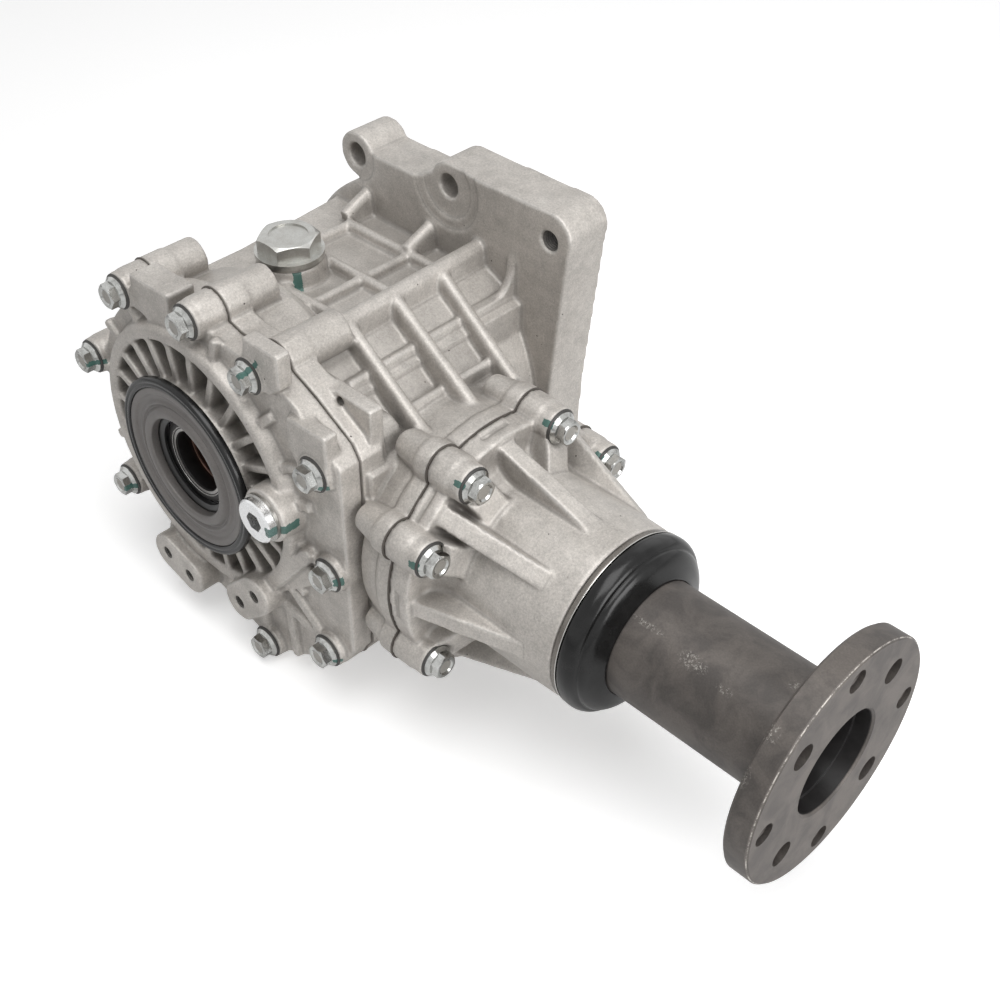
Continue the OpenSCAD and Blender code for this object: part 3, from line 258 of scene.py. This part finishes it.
def makeCast(name, look):
    material, tree, shader, place = newMaterial(name)
    cloud = noiseNode(tree, place, look["cloudSize"] * mm, 4, 0.6)
    blotch = noiseNode(tree, place, look["blotchSize"] * mm, 3, 0.55)
    grain = noiseNode(tree, place, look["grainSize"] * mm, 4, 0.7)
    fine = noiseNode(tree, place, look["fineSize"] * mm, 2, 0.6)
    edge = addNode(tree, "ShaderNodeAttribute", attribute_name="edge").outputs["Fac"]
    colour = mixColour(tree, rampNode(tree, cloud, [(0.32, 0.0), (0.66, 1.0)]),
                       look["shade"], look["colour"])
    colour = mixColour(tree, 0.22, colour,
                       rampNode(tree, blotch, [(0.30, 0.30), (0.70, 0.75)]), "OVERLAY")
    colour = mixColour(tree, 0.34, colour,
                       rampNode(tree, grain, [(0.32, 0.25), (0.68, 0.85)]), "OVERLAY")
    # Bright specks left by the blasting
    speck = mathNode(tree, "MULTIPLY", rampNode(tree, fine, [(0.60, 0.0), (0.70, 1.0)]), 0.45)
    colour = mixColour(tree, speck, colour, look["speck"])
    # The edge attribute is low on rounded rims and high in hollows
    # Edge wear and a painted highlight: rounded rims are lightened
    rim = mathNode(tree, "MULTIPLY", rampNode(tree, edge, [(0.08, 1.0), (0.40, 0.0)]), look["rim"])
    colour = mixColour(tree, rim, colour, look["rimWearAndHighlight"])
    # Painted shade: hollows and creases are darkened
    hollow = mathNode(tree, "MULTIPLY", rampNode(tree, edge, [(0.60, 0.0), (0.92, 1.0)]),
                      look["hollow"])
    colour = mixColour(tree, hollow, colour, look["creaseShadeColour"])
    # Painted shade in the pockets between the ribs: darker where more of the room in front of the surface
    # is walled in
    pocket = addNode(tree, "ShaderNodeAttribute", attribute_name="pocket").outputs["Fac"]
    pocketShade = mathNode(tree, "MULTIPLY", rampNode(tree, pocket, [(0.32, 0.0), (0.88, 1.0)]),
                     look["pocketShade"])
    colour = mixColour(tree, pocketShade, colour, look["pocketShadeColour"])
    # Pinholes of the casting, only in some patches
    pits = addNode(tree, "ShaderNodeTexVoronoi",
                   {"Vector": place, "Scale": 1 / (look["pitSpacing"] * mm), "Randomness": 1.0})
    few = mathNode(tree, "GREATER_THAN", noiseNode(tree, place, look["pitPatch"] * mm, 1), 0.58)
    pit = mathNode(tree, "MULTIPLY", few,
                   rampNode(tree, pits.outputs["Distance"], [(0.04, 1.0), (0.065, 0.0)]))
    colour = mixColour(tree, pit, colour, look["pit"])
    rough = mathNode(tree, "ADD", look["roughness"] - 0.10, mathNode(tree, "MULTIPLY", grain, 0.22))
    mask = paintMask(tree, place)
    colour = mixColour(tree, mask, colour, paint["colour"])
    rough = mathNode(tree, "SUBTRACT", rough, mathNode(tree, "MULTIPLY", mask, 0.12))
    metal = mathNode(tree, "MULTIPLY", mathNode(tree, "SUBTRACT", 1.0, mask), look["metal"])
    skin = mathNode(tree, "ADD", mathNode(tree, "MULTIPLY", grain, 0.6),
                    mathNode(tree, "MULTIPLY", fine, 0.4))
    skin = mathNode(tree, "ADD", skin, mathNode(tree, "MULTIPLY", blotch, 0.8))
    skin = mathNode(tree, "SUBTRACT", skin, mathNode(tree, "MULTIPLY", pit, 0.8))
    setShader(tree, shader, colour=colour, metal=metal, roughness=rough,
              normal=bumpNode(tree, skin, look["bump"] * mm, look["bumpStrength"]))
    return material


steelLook = {
    "cloudSize": 7,  # width of a stain, in mm
    "grainSize": 0.8,
    "grainShare": 0.25,
    "spread": 0.12,  # how far the grain moves the roughness
    "bumpStrength": 0.5,
}


def makeSteel(name, colour, roughness, metal=1.0, bump=0.05, marked=False,
              stain=(0.25, 0.24, 0.22), stainAmount=0.25):
    material, tree, shader, place = newMaterial(name)
    look = steelLook
    cloud = noiseNode(tree, place, look["cloudSize"] * mm, 3, 0.6)
    grain = noiseNode(tree, place, look["grainSize"] * mm, 3, 0.6)
    stained = mathNode(tree, "MULTIPLY", rampNode(tree, cloud, [(0.42, 0.0), (0.70, 1.0)]),
                       stainAmount)
    tone = mixColour(tree, stained, colour, stain)
    tone = mixColour(tree, look["grainShare"], tone,
                     rampNode(tree, grain, [(0.3, 0.35), (0.7, 0.75)]), "OVERLAY")
    rough = mathNode(tree, "ADD", roughness - look["spread"] / 2,
                     mathNode(tree, "MULTIPLY", grain, look["spread"]))
    if marked:
        mask = paintMask(tree, place)
        tone = mixColour(tree, mask, tone, paint["colour"])
        metal = mathNode(tree, "MULTIPLY", mathNode(tree, "SUBTRACT", 1.0, mask), metal)
    setShader(tree, shader, colour=tone, metal=metal, roughness=rough,
              normal=bumpNode(tree, grain, bump * mm, look["bumpStrength"]))
    return material


# Dark steel of the output tube, rubbed bright in a few places and along the flange's front edge
tubeWear = {
    "colour": (0.118, 0.104, 0.094),
    "dark": (0.072, 0.064, 0.059),
    "rubbed": (0.36, 0.34, 0.31),
    "chipped": (0.50, 0.47, 0.43),
    # middle and half size of each rubbed place, in mm
    "rubs": [((250, -123.8, 16.6), (11, 1.6, 5)), ((277, -126, 15), (9, 4.5, 5)),
             ((296, -128, 13.3), (5, 2.0, 4)), ((332, -160, 18), (4, 8, 7)),
             ((333, -150, 36), (5, 6, 5)), ((318, -110, 20), (3, 3, 4))],
    # place along the axis and distance from it where the chipped edge begins, in mm
    "edgeAt": (343.6, 61.7),
    "metal": 0.25,
    "roughness": 0.46,
    "specular": 0.4,
}


def makeTubeSteel(name, look):
    material, tree, shader, place = newMaterial(name)
    cloud = noiseNode(tree, place, 16 * mm, 4, 0.62, 0.6)
    grain = noiseNode(tree, place, 0.8 * mm, 3, 0.6)
    speck = noiseNode(tree, place, 1.1 * mm, 4, 0.8)
    tone = mixColour(tree, rampNode(tree, cloud, [(0.36, 1.0), (0.62, 0.0)]),
                     look["colour"], look["dark"])
    tone = mixColour(tree, 0.28, tone, rampNode(tree, grain, [(0.3, 0.3), (0.7, 0.8)]), "OVERLAY")
    wear = None
    for middle, half in look["rubs"]:
        offset = vectorNode(tree, "SUBTRACT", place, Vector(middle) * mm)
        offset = vectorNode(tree, "MULTIPLY", offset, [1 / (size * mm) for size in half])
        far = vectorNode(tree, "LENGTH", offset, output="Value")
        spot = mathNode(tree, "SUBTRACT", 1.0, far, clamp=True)
        wear = spot if wear is None else mathNode(tree, "MAXIMUM", wear, spot)
    wear = mathNode(tree, "MULTIPLY", rampNode(tree, wear, [(0.0, 0.0), (0.6, 1.0)]),
                    rampNode(tree, speck, [(0.53, 0.0), (0.60, 1.0)]))
    lone = mathNode(tree, "MULTIPLY", rampNode(tree, speck, [(0.74, 0.0), (0.77, 1.0)]), 0.7)
    tone = mixColour(tree, mathNode(tree, "MAXIMUM", wear, lone), tone, look["rubbed"])
    # The flange's front edge, by its place along the axis and its distance from it
    parts = addNode(tree, "ShaderNodeSeparateXYZ", {"Vector": place}).outputs
    axisY, axisZ = (-level * mm for level in outputAxis[0][1:])
    flatPart = addNode(tree, "ShaderNodeCombineXYZ", {"Y": mathNode(tree, "ADD", parts["Y"], axisY),
                                                      "Z": mathNode(tree, "ADD", parts["Z"], axisZ)})
    radius = vectorNode(tree, "LENGTH", flatPart.outputs[0], output="Value")
    atX, atR = look["edgeAt"]
    rim = mathNode(tree, "MULTIPLY", mathNode(tree, "GREATER_THAN", parts["X"], atX * mm),
                   mathNode(tree, "GREATER_THAN", radius, atR * mm))
    rim = mathNode(tree, "MULTIPLY", rim, rampNode(tree, noiseNode(tree, place, 5 * mm, 4, 0.8),
                                                   [(0.44, 0.05), (0.58, 0.9)]))
    tone = mixColour(tree, rim, tone, look["chipped"])
    rough = mathNode(tree, "ADD", look["roughness"], mathNode(tree, "MULTIPLY", grain, 0.12))
    setShader(tree, shader, colour=tone, metal=look["metal"], roughness=rough,
              specular=look["specular"],
              normal=bumpNode(tree, grain, 0.06 * mm, 0.5))
    return material


rubberLook = {
    "cloudSize": 12,  # in mm
    "grainSize": 0.6,
    "coatRoughness": 0.1,
    "bump": 0.05,
    "bumpStrength": 0.4,
}


def makeRubber(name, colour, roughness, coat=0.0, specular=0.5):
    material, tree, shader, place = newMaterial(name)
    look = rubberLook
    cloud = noiseNode(tree, place, look["cloudSize"] * mm, 3, 0.6)
    grain = noiseNode(tree, place, look["grainSize"] * mm, 2, 0.5)
    tone = mixColour(tree, rampNode(tree, cloud, [(0.35, 0.0), (0.65, 1.0)]), colour,
                     tuple(min(1, part * 1.5 + 0.006) for part in colour))
    rough = mathNode(tree, "ADD", roughness - 0.06, mathNode(tree, "MULTIPLY", cloud, 0.12))
    setShader(tree, shader, colour=tone, metal=0.0, roughness=rough, coat=coat,
              coatRoughness=look["coatRoughness"], specular=specular,
              normal=bumpNode(tree, grain, look["bump"] * mm, look["bumpStrength"]))
    return material


castMetal = makeCast("castMetal", castLook)
zincBolt = makeSteel("zincBolt", (0.52, 0.525, 0.51), 0.15, marked=True,
                     stain=(0.17, 0.165, 0.155), stainAmount=0.65)
zincPlug = makeSteel("zincPlug", (0.50, 0.50, 0.48), 0.30, marked=True,
                     stain=(0.30, 0.28, 0.25), stainAmount=0.4)
plugBright = makeSteel("plugBright", (0.84, 0.845, 0.85), 0.28, marked=True, stain=(0.62, 0.62, 0.62))
headTop = makeSteel("headTop", (0.36, 0.345, 0.32), 0.48, metal=0.6, bump=0.15)
boltShadow = makeRubber("boltShadow", (0.030, 0.028, 0.026), 0.5)
tappedDark = makeSteel("tappedDark", (0.085, 0.080, 0.074), 0.45, metal=0.4)
washerMetal = makeSteel("washerMetal", (0.40, 0.39, 0.37), 0.34)
bearingSteel = makeSteel("bearingSteel", (0.60, 0.60, 0.61), 0.22)
gearSteel = makeSteel("gearSteel", (0.42, 0.42, 0.43), 0.34)
shaftSteel = makeSteel("shaftSteel", (0.40, 0.39, 0.38), 0.34)
tubeSteel = makeTubeSteel("tubeSteel", tubeWear)
oiledBore = makeRubber("oiledBore", (0.009, 0.008, 0.008), 0.38, specular=0.3)
bushBronze = makeSteel("bushBronze", (0.22, 0.105, 0.075), 0.38, stain=(0.10, 0.05, 0.035))
discSatin = makeSteel("discSatin", (0.155, 0.144, 0.137), 0.42, metal=0.3,
                      stain=(0.115, 0.107, 0.101))
discRim = makeRubber("discRim", (0.007, 0.007, 0.007), 0.24, coat=0.05, specular=0.3)
neckBlack = makeRubber("neckBlack", (0.005, 0.005, 0.005), 0.22, coat=0.05, specular=0.28)
neckBand = makeSteel("neckBand", (0.17, 0.155, 0.14), 0.26, metal=0.9)
brightEdge = makeSteel("brightEdge", (0.55, 0.54, 0.52), 0.2)
lipRubber = makeRubber("lipRubber", (0.010, 0.010, 0.010), 0.35, coat=0.2)
sealantGrey = makeRubber("sealantGrey", (0.150, 0.138, 0.126), 0.6)
sealantDark = makeRubber("sealantDark", (0.070, 0.062, 0.054), 0.6)

finish = {
    castMetal: ["main_housing", "side_cover", "pinion_housing"],
    zincBolt: ["cover_bolts", "pinion_bolts", "cover_dowels"],
    zincPlug: ["fill_plug"],
    plugBright: ["level_plug"],
    washerMetal: ["fill_washer", "level_washer", "pinion_washer", "pinion_nut"],
    bearingSteel: ["cover_bearing_cup", "mount_bearing_cup", "head_bearing_cup", "tail_bearing_cup",
                   "cover_bearing_cone", "mount_bearing_cone", "head_bearing_cone", "tail_bearing_cone",
                   "cover_rollers", "mount_rollers", "head_rollers", "tail_rollers"],
    gearSteel: ["ring_gear", "pinion", "ring_gear_bolts", "crush_sleeve"],
    shaftSteel: ["cross_shaft"],
    tubeSteel: ["output_flange"],
    bushBronze: ["shaft_bush"],
    discSatin: ["dust_disc"],
    discRim: ["dust_disc_rim"],
    neckBlack: ["neck_deflector"],
    lipRubber: ["cover_seal", "mount_seal", "output_seal", "spigot_ring"],
    sealantGrey: ["cover_sealant"],
    sealantDark: ["pinion_sealant"],
}
for material, names in finish.items():
    for name in names:
        nodes[name].data.materials.clear()
        nodes[name].data.materials.append(material)
left = sorted(set(nodes) - {name for names in finish.values() for name in names})
print("stage: finishes made; nodes without one:", left)


# Castings: the CAD surface, with its edges and corners rounded as cast.
# Flat faces go back onto the CAD surface, and edges at the machined joints stay sharp.

castings = {
    "voxel": 1.0,  # in mm
    "rounds": 4,
    "roundShare": 0.6,
    "softening": 2,
    "softenShare": 0.5,
    "snap": (0.10, 0.34),  # in mm: nearer goes onto the CAD surface, further stays
    "faces": 190000,
    "joints": [(1, -165.5), (0, 136.0)],  # axis and place of each joint plane, in mm
    "jointBand": 1.2,
    "jointShare": 0.35,
    "edgeSpan": 1.1,  # mm from the deepest hollow to the most rounded rim
    "pocketReach": 26,  # in mm
    "pocketRays": 10,
    "pocketStart": 0.5,
    "pocketRounds": 2,
}


def gridOf(mesh):
    points = np.empty(len(mesh.vertices) * 3)
    mesh.vertices.foreach_get("co", points)
    pairs = np.empty(len(mesh.edges) * 2, np.int32)
    mesh.edges.foreach_get("vertices", pairs)
    return points.reshape(-1, 3), pairs.reshape(-1, 2)


def aroundMean(values, pairs, count):
    # The mean of each point's neighbours
    total = np.zeros_like(values)
    for column in range(values.shape[1]):
        total[:, column] = np.bincount(pairs[:, 0], values[pairs[:, 1], column], len(values))
        total[:, column] += np.bincount(pairs[:, 1], values[pairs[:, 0], column], len(values))
    return total / count[:, None]


def nearestOn(tree, points):
    # For each point, the nearest place on the CAD surface and how far outside it the point is
    found, outside = np.empty_like(points), np.empty(len(points))
    for index, point in enumerate(points):
        spot, normal, face, distance = tree.find_nearest(point)
        found[index] = spot
        outside[index] = math.copysign(distance, (Vector(point) - spot).dot(normal))
    return found, outside


def pocketShare(surface, points, normals):
    # How much of the room in front of each point is walled in, from 0 to 1
    reach, count = castings["pocketReach"] * mm, castings["pocketRays"]
    goldenAngle = 2.39996
    turns = np.arange(count) * goldenAngle
    height = (np.arange(count) + 0.5) / count
    flat = np.sqrt(1 - height * height)
    aside = np.cross(normals, [0.31, 0.47, 0.83])
    # A point on a face without area has no normal, so its length is never taken as 0
    aside /= np.maximum(np.linalg.norm(aside, axis=1, keepdims=True), 1e-9)
    other = np.cross(normals, aside)
    starts = points + normals * castings["pocketStart"] * mm
    shut = np.zeros(len(points))
    for index in range(count):
        sideways = aside * math.cos(turns[index]) + other * math.sin(turns[index])
        ways = normals * height[index] + sideways * flat[index]
        shut += [surface.ray_cast(start, way, reach)[3] is not None
                 for start, way in zip(starts, ways)]
    return shut / count


def castSkin(nodeName):
    source = nodes[nodeName]
    mesh = source.data.copy()
    cut = bmesh.new()
    cut.from_mesh(mesh)
    bmesh.ops.remove_doubles(cut, verts=cut.verts, dist=1e-6)
    cut.to_mesh(mesh)
    surface = BVHTree.FromBMesh(cut)
    cut.free()
    rough = bpy.data.objects.new(nodeName + "Rough", mesh)
    scene.collection.objects.link(rough)
    remesh = rough.modifiers.new("cast", "REMESH")
    remesh.mode = "VOXEL"
    remesh.voxel_size = castings["voxel"] * mm
    bpy.context.view_layer.update()
    shown = rough.evaluated_get(bpy.context.evaluated_depsgraph_get())
    skin = bpy.data.meshes.new_from_object(shown)
    bpy.data.objects.remove(rough)
    points, pairs = gridOf(skin)
    count = np.maximum(np.bincount(pairs.ravel(), minlength=len(points)), 1)
    loose = np.ones(len(points))
    for column, level in castings["joints"]:
        loose[np.abs(points[:, column] - level * mm) < castings["jointBand"] * mm] = castings["jointShare"]
    for step in range(castings["rounds"]):
        pull = castings["roundShare"] * loose[:, None]
        points += (aroundMean(points, pairs, count) - points) * pull
    spots, outside = nearestOn(surface, points)
    near, far = (limit * mm for limit in castings["snap"])
    keep = np.clip((np.abs(outside) - near) / (far - near), 0, 1)[:, None]
    points = spots + (points - spots) * keep
    for step in range(castings["softening"]):
        pull = castings["softenShare"] * loose[:, None]
        points += (aroundMean(points, pairs, count) - points) * pull
    skin.vertices.foreach_set("co", points.ravel())
    skin.update()
    piece = addPiece(nodeName + "Cast", skin, castMetal, source["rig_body"])
    triangles = sum(len(p.vertices) - 2 for p in skin.polygons)
    if triangles > castings["faces"]:
        fewer = piece.modifiers.new("fewer", "DECIMATE")
        fewer.ratio = castings["faces"] / triangles
        bpy.context.view_layer.update()
        shown = piece.evaluated_get(bpy.context.evaluated_depsgraph_get())
        lean = bpy.data.meshes.new_from_object(shown)
        piece.modifiers.clear()
        piece.data = lean
    points, pairs = gridOf(piece.data)
    outside = nearestOn(surface, points)[1]
    normals = np.empty(len(points) * 3)
    piece.data.vertices.foreach_get("normal", normals)
    normals = normals.reshape(-1, 3)
    # The pocket attribute drives the painted shade of the castings
    walled = pocketShare(surface, points, normals)[:, None]
    count = np.maximum(np.bincount(pairs.ravel(), minlength=len(points)), 1)
    for step in range(castings["pocketRounds"]):
        walled = (walled + aroundMean(walled, pairs, count)) / 2
    pocket = piece.data.attributes.new("pocket", "FLOAT", "POINT")
    pocket.data.foreach_set("value", walled[:, 0].astype(np.float32))
    edge = piece.data.attributes.new("edge", "FLOAT", "POINT")
    level = np.clip(0.5 + outside / (castings["edgeSpan"] * mm), 0, 1)
    edge.data.foreach_set("value", level.astype(np.float32))
    for polygon in piece.data.polygons:
        polygon.use_smooth = True
    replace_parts(piece, nodeName)
    print("stage:", piece.name, "faces", triangles, "to", len(piece.data.polygons))
    return piece


castSkin("main_housing")
castSkin("side_cover")
castSkin("pinion_housing")


# Turned pieces and thread ridges, as outlines spun round an axis.
# An outline's points are (distance along the axis, distance from it), in mm.


def roundedLoop(points, reach):
    # Cuts the corners of a closed outline twice
    for length in (reach, reach / 3):
        cut = []
        for a, b in zip(points, points[1:] + points[:1]):
            share = min(length / max(math.dist(a, b), 1e-6), 0.32)
            cut.append((a[0] + (b[0] - a[0]) * share, a[1] + (b[1] - a[1]) * share))
            cut.append((b[0] + (a[0] - b[0]) * share, b[1] + (a[1] - b[1]) * share))
        points = cut
    return points


def spinOutline(shape, outline, axis, centre, turn=1.0, steps=160, climb=0.0):
    axis, centre = Vector(axis), Vector(centre) * mm
    across = Vector((0, 0, 1))
    corners = [shape.verts.new(centre + (axis * a + across * r) * mm) for a, r in outline]
    lines = [shape.edges.new(pair) for pair in zip(corners, corners[1:] + corners[:1])]
    spun = bmesh.ops.spin(shape, geom=corners + lines, cent=centre, axis=axis,
                          dvec=axis * climb * mm / steps, angle=2 * math.pi * turn, steps=steps)
    if climb:
        shape.faces.new(corners)
        shape.faces.new([v for v in spun["geom_last"] if isinstance(v, bmesh.types.BMVert)])


def finishShape(name, shape, material, body, sharp=40):
    bmesh.ops.remove_doubles(shape, verts=shape.verts, dist=2e-6)
    bmesh.ops.recalc_face_normals(shape, faces=shape.faces)
    for face in shape.faces:
        face.smooth = True
    mesh = bpy.data.meshes.new(name)
    shape.to_mesh(mesh)
    shape.free()
    mesh.set_sharp_from_angle(angle=math.radians(sharp))
    return addPiece(name, mesh, material, body)


def turnedPiece(name, look, axis, material, body):
    shape = bmesh.new()
    spinOutline(shape, roundedLoop(look["outline"], look["corner"]), axis[1], axis[0])
    return finishShape(name, shape, material, body)


outputBody = nodes["output_flange"]["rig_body"]
inputBody = nodes["cross_shaft"]["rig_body"]
housingBody = nodes["side_cover"]["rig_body"]

# Black deflector at the neck, and the metal band between it and the housing
deflector = {
    "corner": 0.8,
    "outline": [(224.0, 42), (224.0, 46.2), (225.2, 46.9), (228.4, 47.1), (231.0, 46.4),
                (233.0, 45.0), (233.6, 43.6), (234.0, 43.1), (235.0, 43.0), (236.6, 41.6),
                (238.4, 38.6), (239.6, 35.0), (240.4, 32.8), (240.9, 31.6), (240.9, 30.52),
                (233, 30.52), (230, 40)],
}
band = {
    "corner": 0.35,
    "outline": [(220.6, 42), (220.6, 46.0), (221.0, 46.4), (223.0, 46.6), (223.5, 46.4),
                (223.5, 42)],
}
bandLip = {
    "corner": 0.15,
    "outline": [(223.4, 46), (223.4, 46.8), (223.7, 46.95), (223.95, 46.7), (223.95, 46)],
}
ring = turnedPiece("neckDeflector", deflector, outputAxis, neckBlack, outputBody)
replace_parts(ring, "neck_deflector")
turnedPiece("neckBandRing", band, outputAxis, neckBand, outputBody)
turnedPiece("neckBandLip", bandLip, outputAxis, brightEdge, outputBody)

# Dust disc over the cover's seal, with its pressed steps and rubber rim
disc = {
    "corner": 0.35,
    "outline": [(188.5, 28), (188.5, 34), (190.9, 35), (190.9, 45.6), (193.2, 45.6), (193.3, 44.8),
                (193.1, 42.4), (192.5, 41.6), (191.9, 41.0), (191.8, 38.4), (192.2, 37.6),
                (192.6, 36.8), (192.5, 36.0), (191.6, 35.2), (191.6, 34.4), (192.7, 33.7),
                (193.7, 32.6), (193.9, 31.2), (193.9, 29.3), (193.1, 28)],
}
discEdge = {
    "corner": 0.9,
    "outline": [(189.2, 45.65), (189.1, 50.0), (190.1, 51.2), (192.6, 51.2), (193.9, 50.2),
                (194.0, 48.9), (193.6, 48.2), (193.9, 47.4), (193.9, 46.2), (193.3, 45.65)],
}
discBody = nodes["dust_disc"]["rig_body"]
rimBody = nodes["dust_disc_rim"]["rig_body"]
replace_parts(turnedPiece("dustDiscFace", disc, crossAxis, discSatin, discBody), "dust_disc")
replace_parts(turnedPiece("dustDiscEdge", discEdge, crossAxis, discRim, rimBody), "dust_disc_rim")

# Oiled dark faces inside the shaft's end and the flange's pilot bore
shaftMouth = {"corner": 0.1, "outline": [(185.35, 20.1), (185.35, 22.9), (185.8, 22.9), (185.8, 20.1)]}
shaftRing = {"corner": 0.08, "outline": [(185.3, 19.75), (185.3, 20.1), (185.95, 20.1), (185.95, 19.75)]}
shaftLining = {
    "corner": 0.1,
    "outline": [(176.0, 17.2), (176.0, 17.46), (185.4, 17.46), (185.4, 19.5), (185.8, 19.5), (184.6, 17.2)],
}
pilotLining = {
    "corner": 0.1,
    "outline": [(260.0, 25.15), (260.0, 24.95), (335.6, 24.95), (335.6, 26.55), (343.2, 26.55),
                (343.2, 26.76), (335.3, 26.76), (335.3, 25.15)],
}
turnedPiece("shaftMouthFace", shaftMouth, crossAxis, oiledBore, inputBody)
turnedPiece("shaftMouthRing", shaftRing, crossAxis, brightEdge, inputBody)
turnedPiece("shaftMouthLining", shaftLining, crossAxis, oiledBore, inputBody)
turnedPiece("pilotBoreLining", pilotLining, outputAxis, oiledBore, outputBody)

# Rough dished tops of the bolt heads, and a dark ring of painted shadow round each bolt's flange
boltTops = {
    "dish": [(6.60, 0), (6.60, 3.55), (6.72, 3.55), (6.72, 0)],
    "gap": [(-0.2, 8.3), (-0.2, 9.6), (0.12, 9.6), (0.75, 8.9), (0.75, 8.61), (0.0, 8.61)],
    "coverSeat": (-183.5, [(-51, 79), (6.7, 88.6), (53, 81), (95.3, 47), (99.4, -15), (93.3, -73),
                           (40, -106), (-77.3, -59.6), (-91, 19.3)]),
    "pinionSeat": (156, 67.3, [15, 66, 117, 151, 212, 263, 314]),
}
seat, spots = boltTops["coverSeat"]
boltPlaces = {"cover": ((0, -1, 0), [(x, seat, z) for x, z in spots])}
seat, radius, angles = boltTops["pinionSeat"]
middleY, middleZ = outputAxis[0][1:]
boltPlaces["pinion"] = ((1, 0, 0), [(seat, middleY + radius * math.cos(math.radians(angle)),
                                     middleZ + radius * math.sin(math.radians(angle)))
                                    for angle in angles])
for group, (axis, spots) in boltPlaces.items():
    for part, material in (("dish", headTop), ("gap", boltShadow)):
        shape = bmesh.new()
        for spot in spots:
            spinOutline(shape, boltTops[part], axis, spot, steps=32)
        finishShape(group + "Bolt" + part.title(), shape, material, housingBody)

# Painted shade: a dark disc on the floor of the level plug's socket
socket = {"corner": 0.1, "outline": [(194.2, 0), (194.2, 4.85), (194.5, 4.85), (194.5, 0)]}
turnedPiece("levelPlugSocketShade", socket, ((66, 0, 9), (0, -1, 0)), tappedDark, housingBody)

# Thread ridges in the open tapped holes: body, material, pitch, and for each hole its place,
# axis, radius and depth, in mm
threads = {
    "plate": (housingBody, tappedDark, 1.5, [((97.4, -28.0, 105.4), (0, 1, 0), 5.4, 27.0)]),
    "pads": (housingBody, tappedDark, 1.0, [((x, -193.2, z), (0, 1, 0), 3.6, 14.6)
                                            for x, z in ((-34, -82), (-15, -87), (32, -74.5), (46, -61))]),
    "flange": (outputBody, tubeSteel, 1.5, [((332.2, middleY + y, middleZ + z), (1, 0, 0), 5.7, 11.6)
                                            for y, z in ((51.8, 0), (0, 51.8), (-51.8, 0), (0, -51.8))]),
}
for name, (body, material, pitch, holes) in threads.items():
    ridges = bmesh.new()
    for place, axis, radius, depth in holes:
        turns = int(depth / pitch) - 1
        outline = [(0, radius + 0.05), (pitch * 0.44, radius - pitch * 0.45),
                   (pitch * 0.88, radius + 0.05)]
        spinOutline(ridges, outline, axis, place, turn=turns, steps=20 * turns, climb=turns * pitch)
    finishShape(name + "Threads", ridges, material, body, sharp=25)
print("stage: turned pieces and threads made")


# Floor, light and camera

ground = {
    "half": 4.0,  # in metres
    "below": 0.0005,
    "colour": (0.94, 0.94, 0.94),
    "roughness": 0.8,
    "specular": 0.1,
    "glow": 0.40,  # only for the camera, so it lights nothing
}
low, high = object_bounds()
floorMesh = bpy.data.meshes.new("floor")
flat = bmesh.new()
bmesh.ops.create_grid(flat, x_segments=8, y_segments=8, size=ground["half"])
flat.to_mesh(floorMesh)
flat.free()
floor = bpy.data.objects.new("floor", floorMesh)
floor.location = ((low.x + high.x) / 2, (low.y + high.y) / 2, low.z - ground["below"])
scene.collection.objects.link(floor)
floorMaterial, tree, shader, place = newMaterial("paleFloor")
setShader(tree, shader, colour=ground["colour"], roughness=ground["roughness"],
          specular=ground["specular"])
shader.inputs["Emission Color"].default_value = (1, 1, 1, 1)
path = tree.nodes.new("ShaderNodeLightPath")
tree.links.new(mathNode(tree, "MULTIPLY", path.outputs["Is Camera Ray"], ground["glow"]),
               shader.inputs["Emission Strength"])
floorMesh.materials.append(floorMaterial)

studio = {
    "world": 0.22,
    "lamps": [
        # name, place, size, power
        ("key", (0.22, -0.28, 1.40), 1.1, 15.0),
        ("side", (1.45, 0.0, 0.50), 0.9, 14.0),
        ("back", (-0.2, 1.2, 0.9), 1.0, 1.5),
    ],
}
world = bpy.data.worlds.new("studio")
scene.world = world
world.use_nodes = True
tree = world.node_tree
background = tree.nodes["Background"]
path = tree.nodes.new("ShaderNodeLightPath")
seen = mathNode(tree, "MAXIMUM", path.outputs["Is Camera Ray"], mathNode(
    tree, "MAXIMUM", path.outputs["Is Glossy Ray"], path.outputs["Is Transmission Ray"]))
level = mathNode(tree, "ADD", studio["world"], mathNode(tree, "MULTIPLY", seen, 1.0 - studio["world"]))
tree.links.new(level, background.inputs["Strength"])
background.inputs["Color"].default_value = (1, 1, 1, 1)

centre = (low + high) / 2
for name, spot, size, power in studio["lamps"]:
    lamp = bpy.data.lights.new(name, "AREA")
    lamp.shape = "SQUARE"
    lamp.size = size
    lamp.energy = power
    holder = bpy.data.objects.new(name, lamp)
    holder.location = centre + Vector(spot)
    holder.rotation_euler = (centre - holder.location).to_track_quat("-Z", "Y").to_euler()
    scene.collection.objects.link(holder)

camera = {
    "place": (0.5148, -0.4950, 0.4845),
    "right": (0.715, 0.699, 0.009),
    "forward": (-0.521, 0.542, -0.659),
    "lens": 52.73,
}
forward = Vector(camera["forward"]).normalized()
right = Vector(camera["right"])
right = (right - right.dot(forward) * forward).normalized()
upward = right.cross(forward)
cameraData = bpy.data.cameras.new("camera")
cameraData.lens = camera["lens"]
cameraData.sensor_width = 36
cameraData.sensor_fit = "HORIZONTAL"
cameraData.clip_start = 0.01
cameraData.clip_end = 20
cameraPiece = bpy.data.objects.new("camera", cameraData)
turned = Matrix((right, upward, -forward)).transposed().to_4x4()
turned.translation = Vector(camera["place"])
cameraPiece.matrix_world = turned
scene.collection.objects.link(cameraPiece)
scene.camera = cameraPiece
scene.view_settings.view_transform = "Standard"
print("stage: floor, light and camera in place")
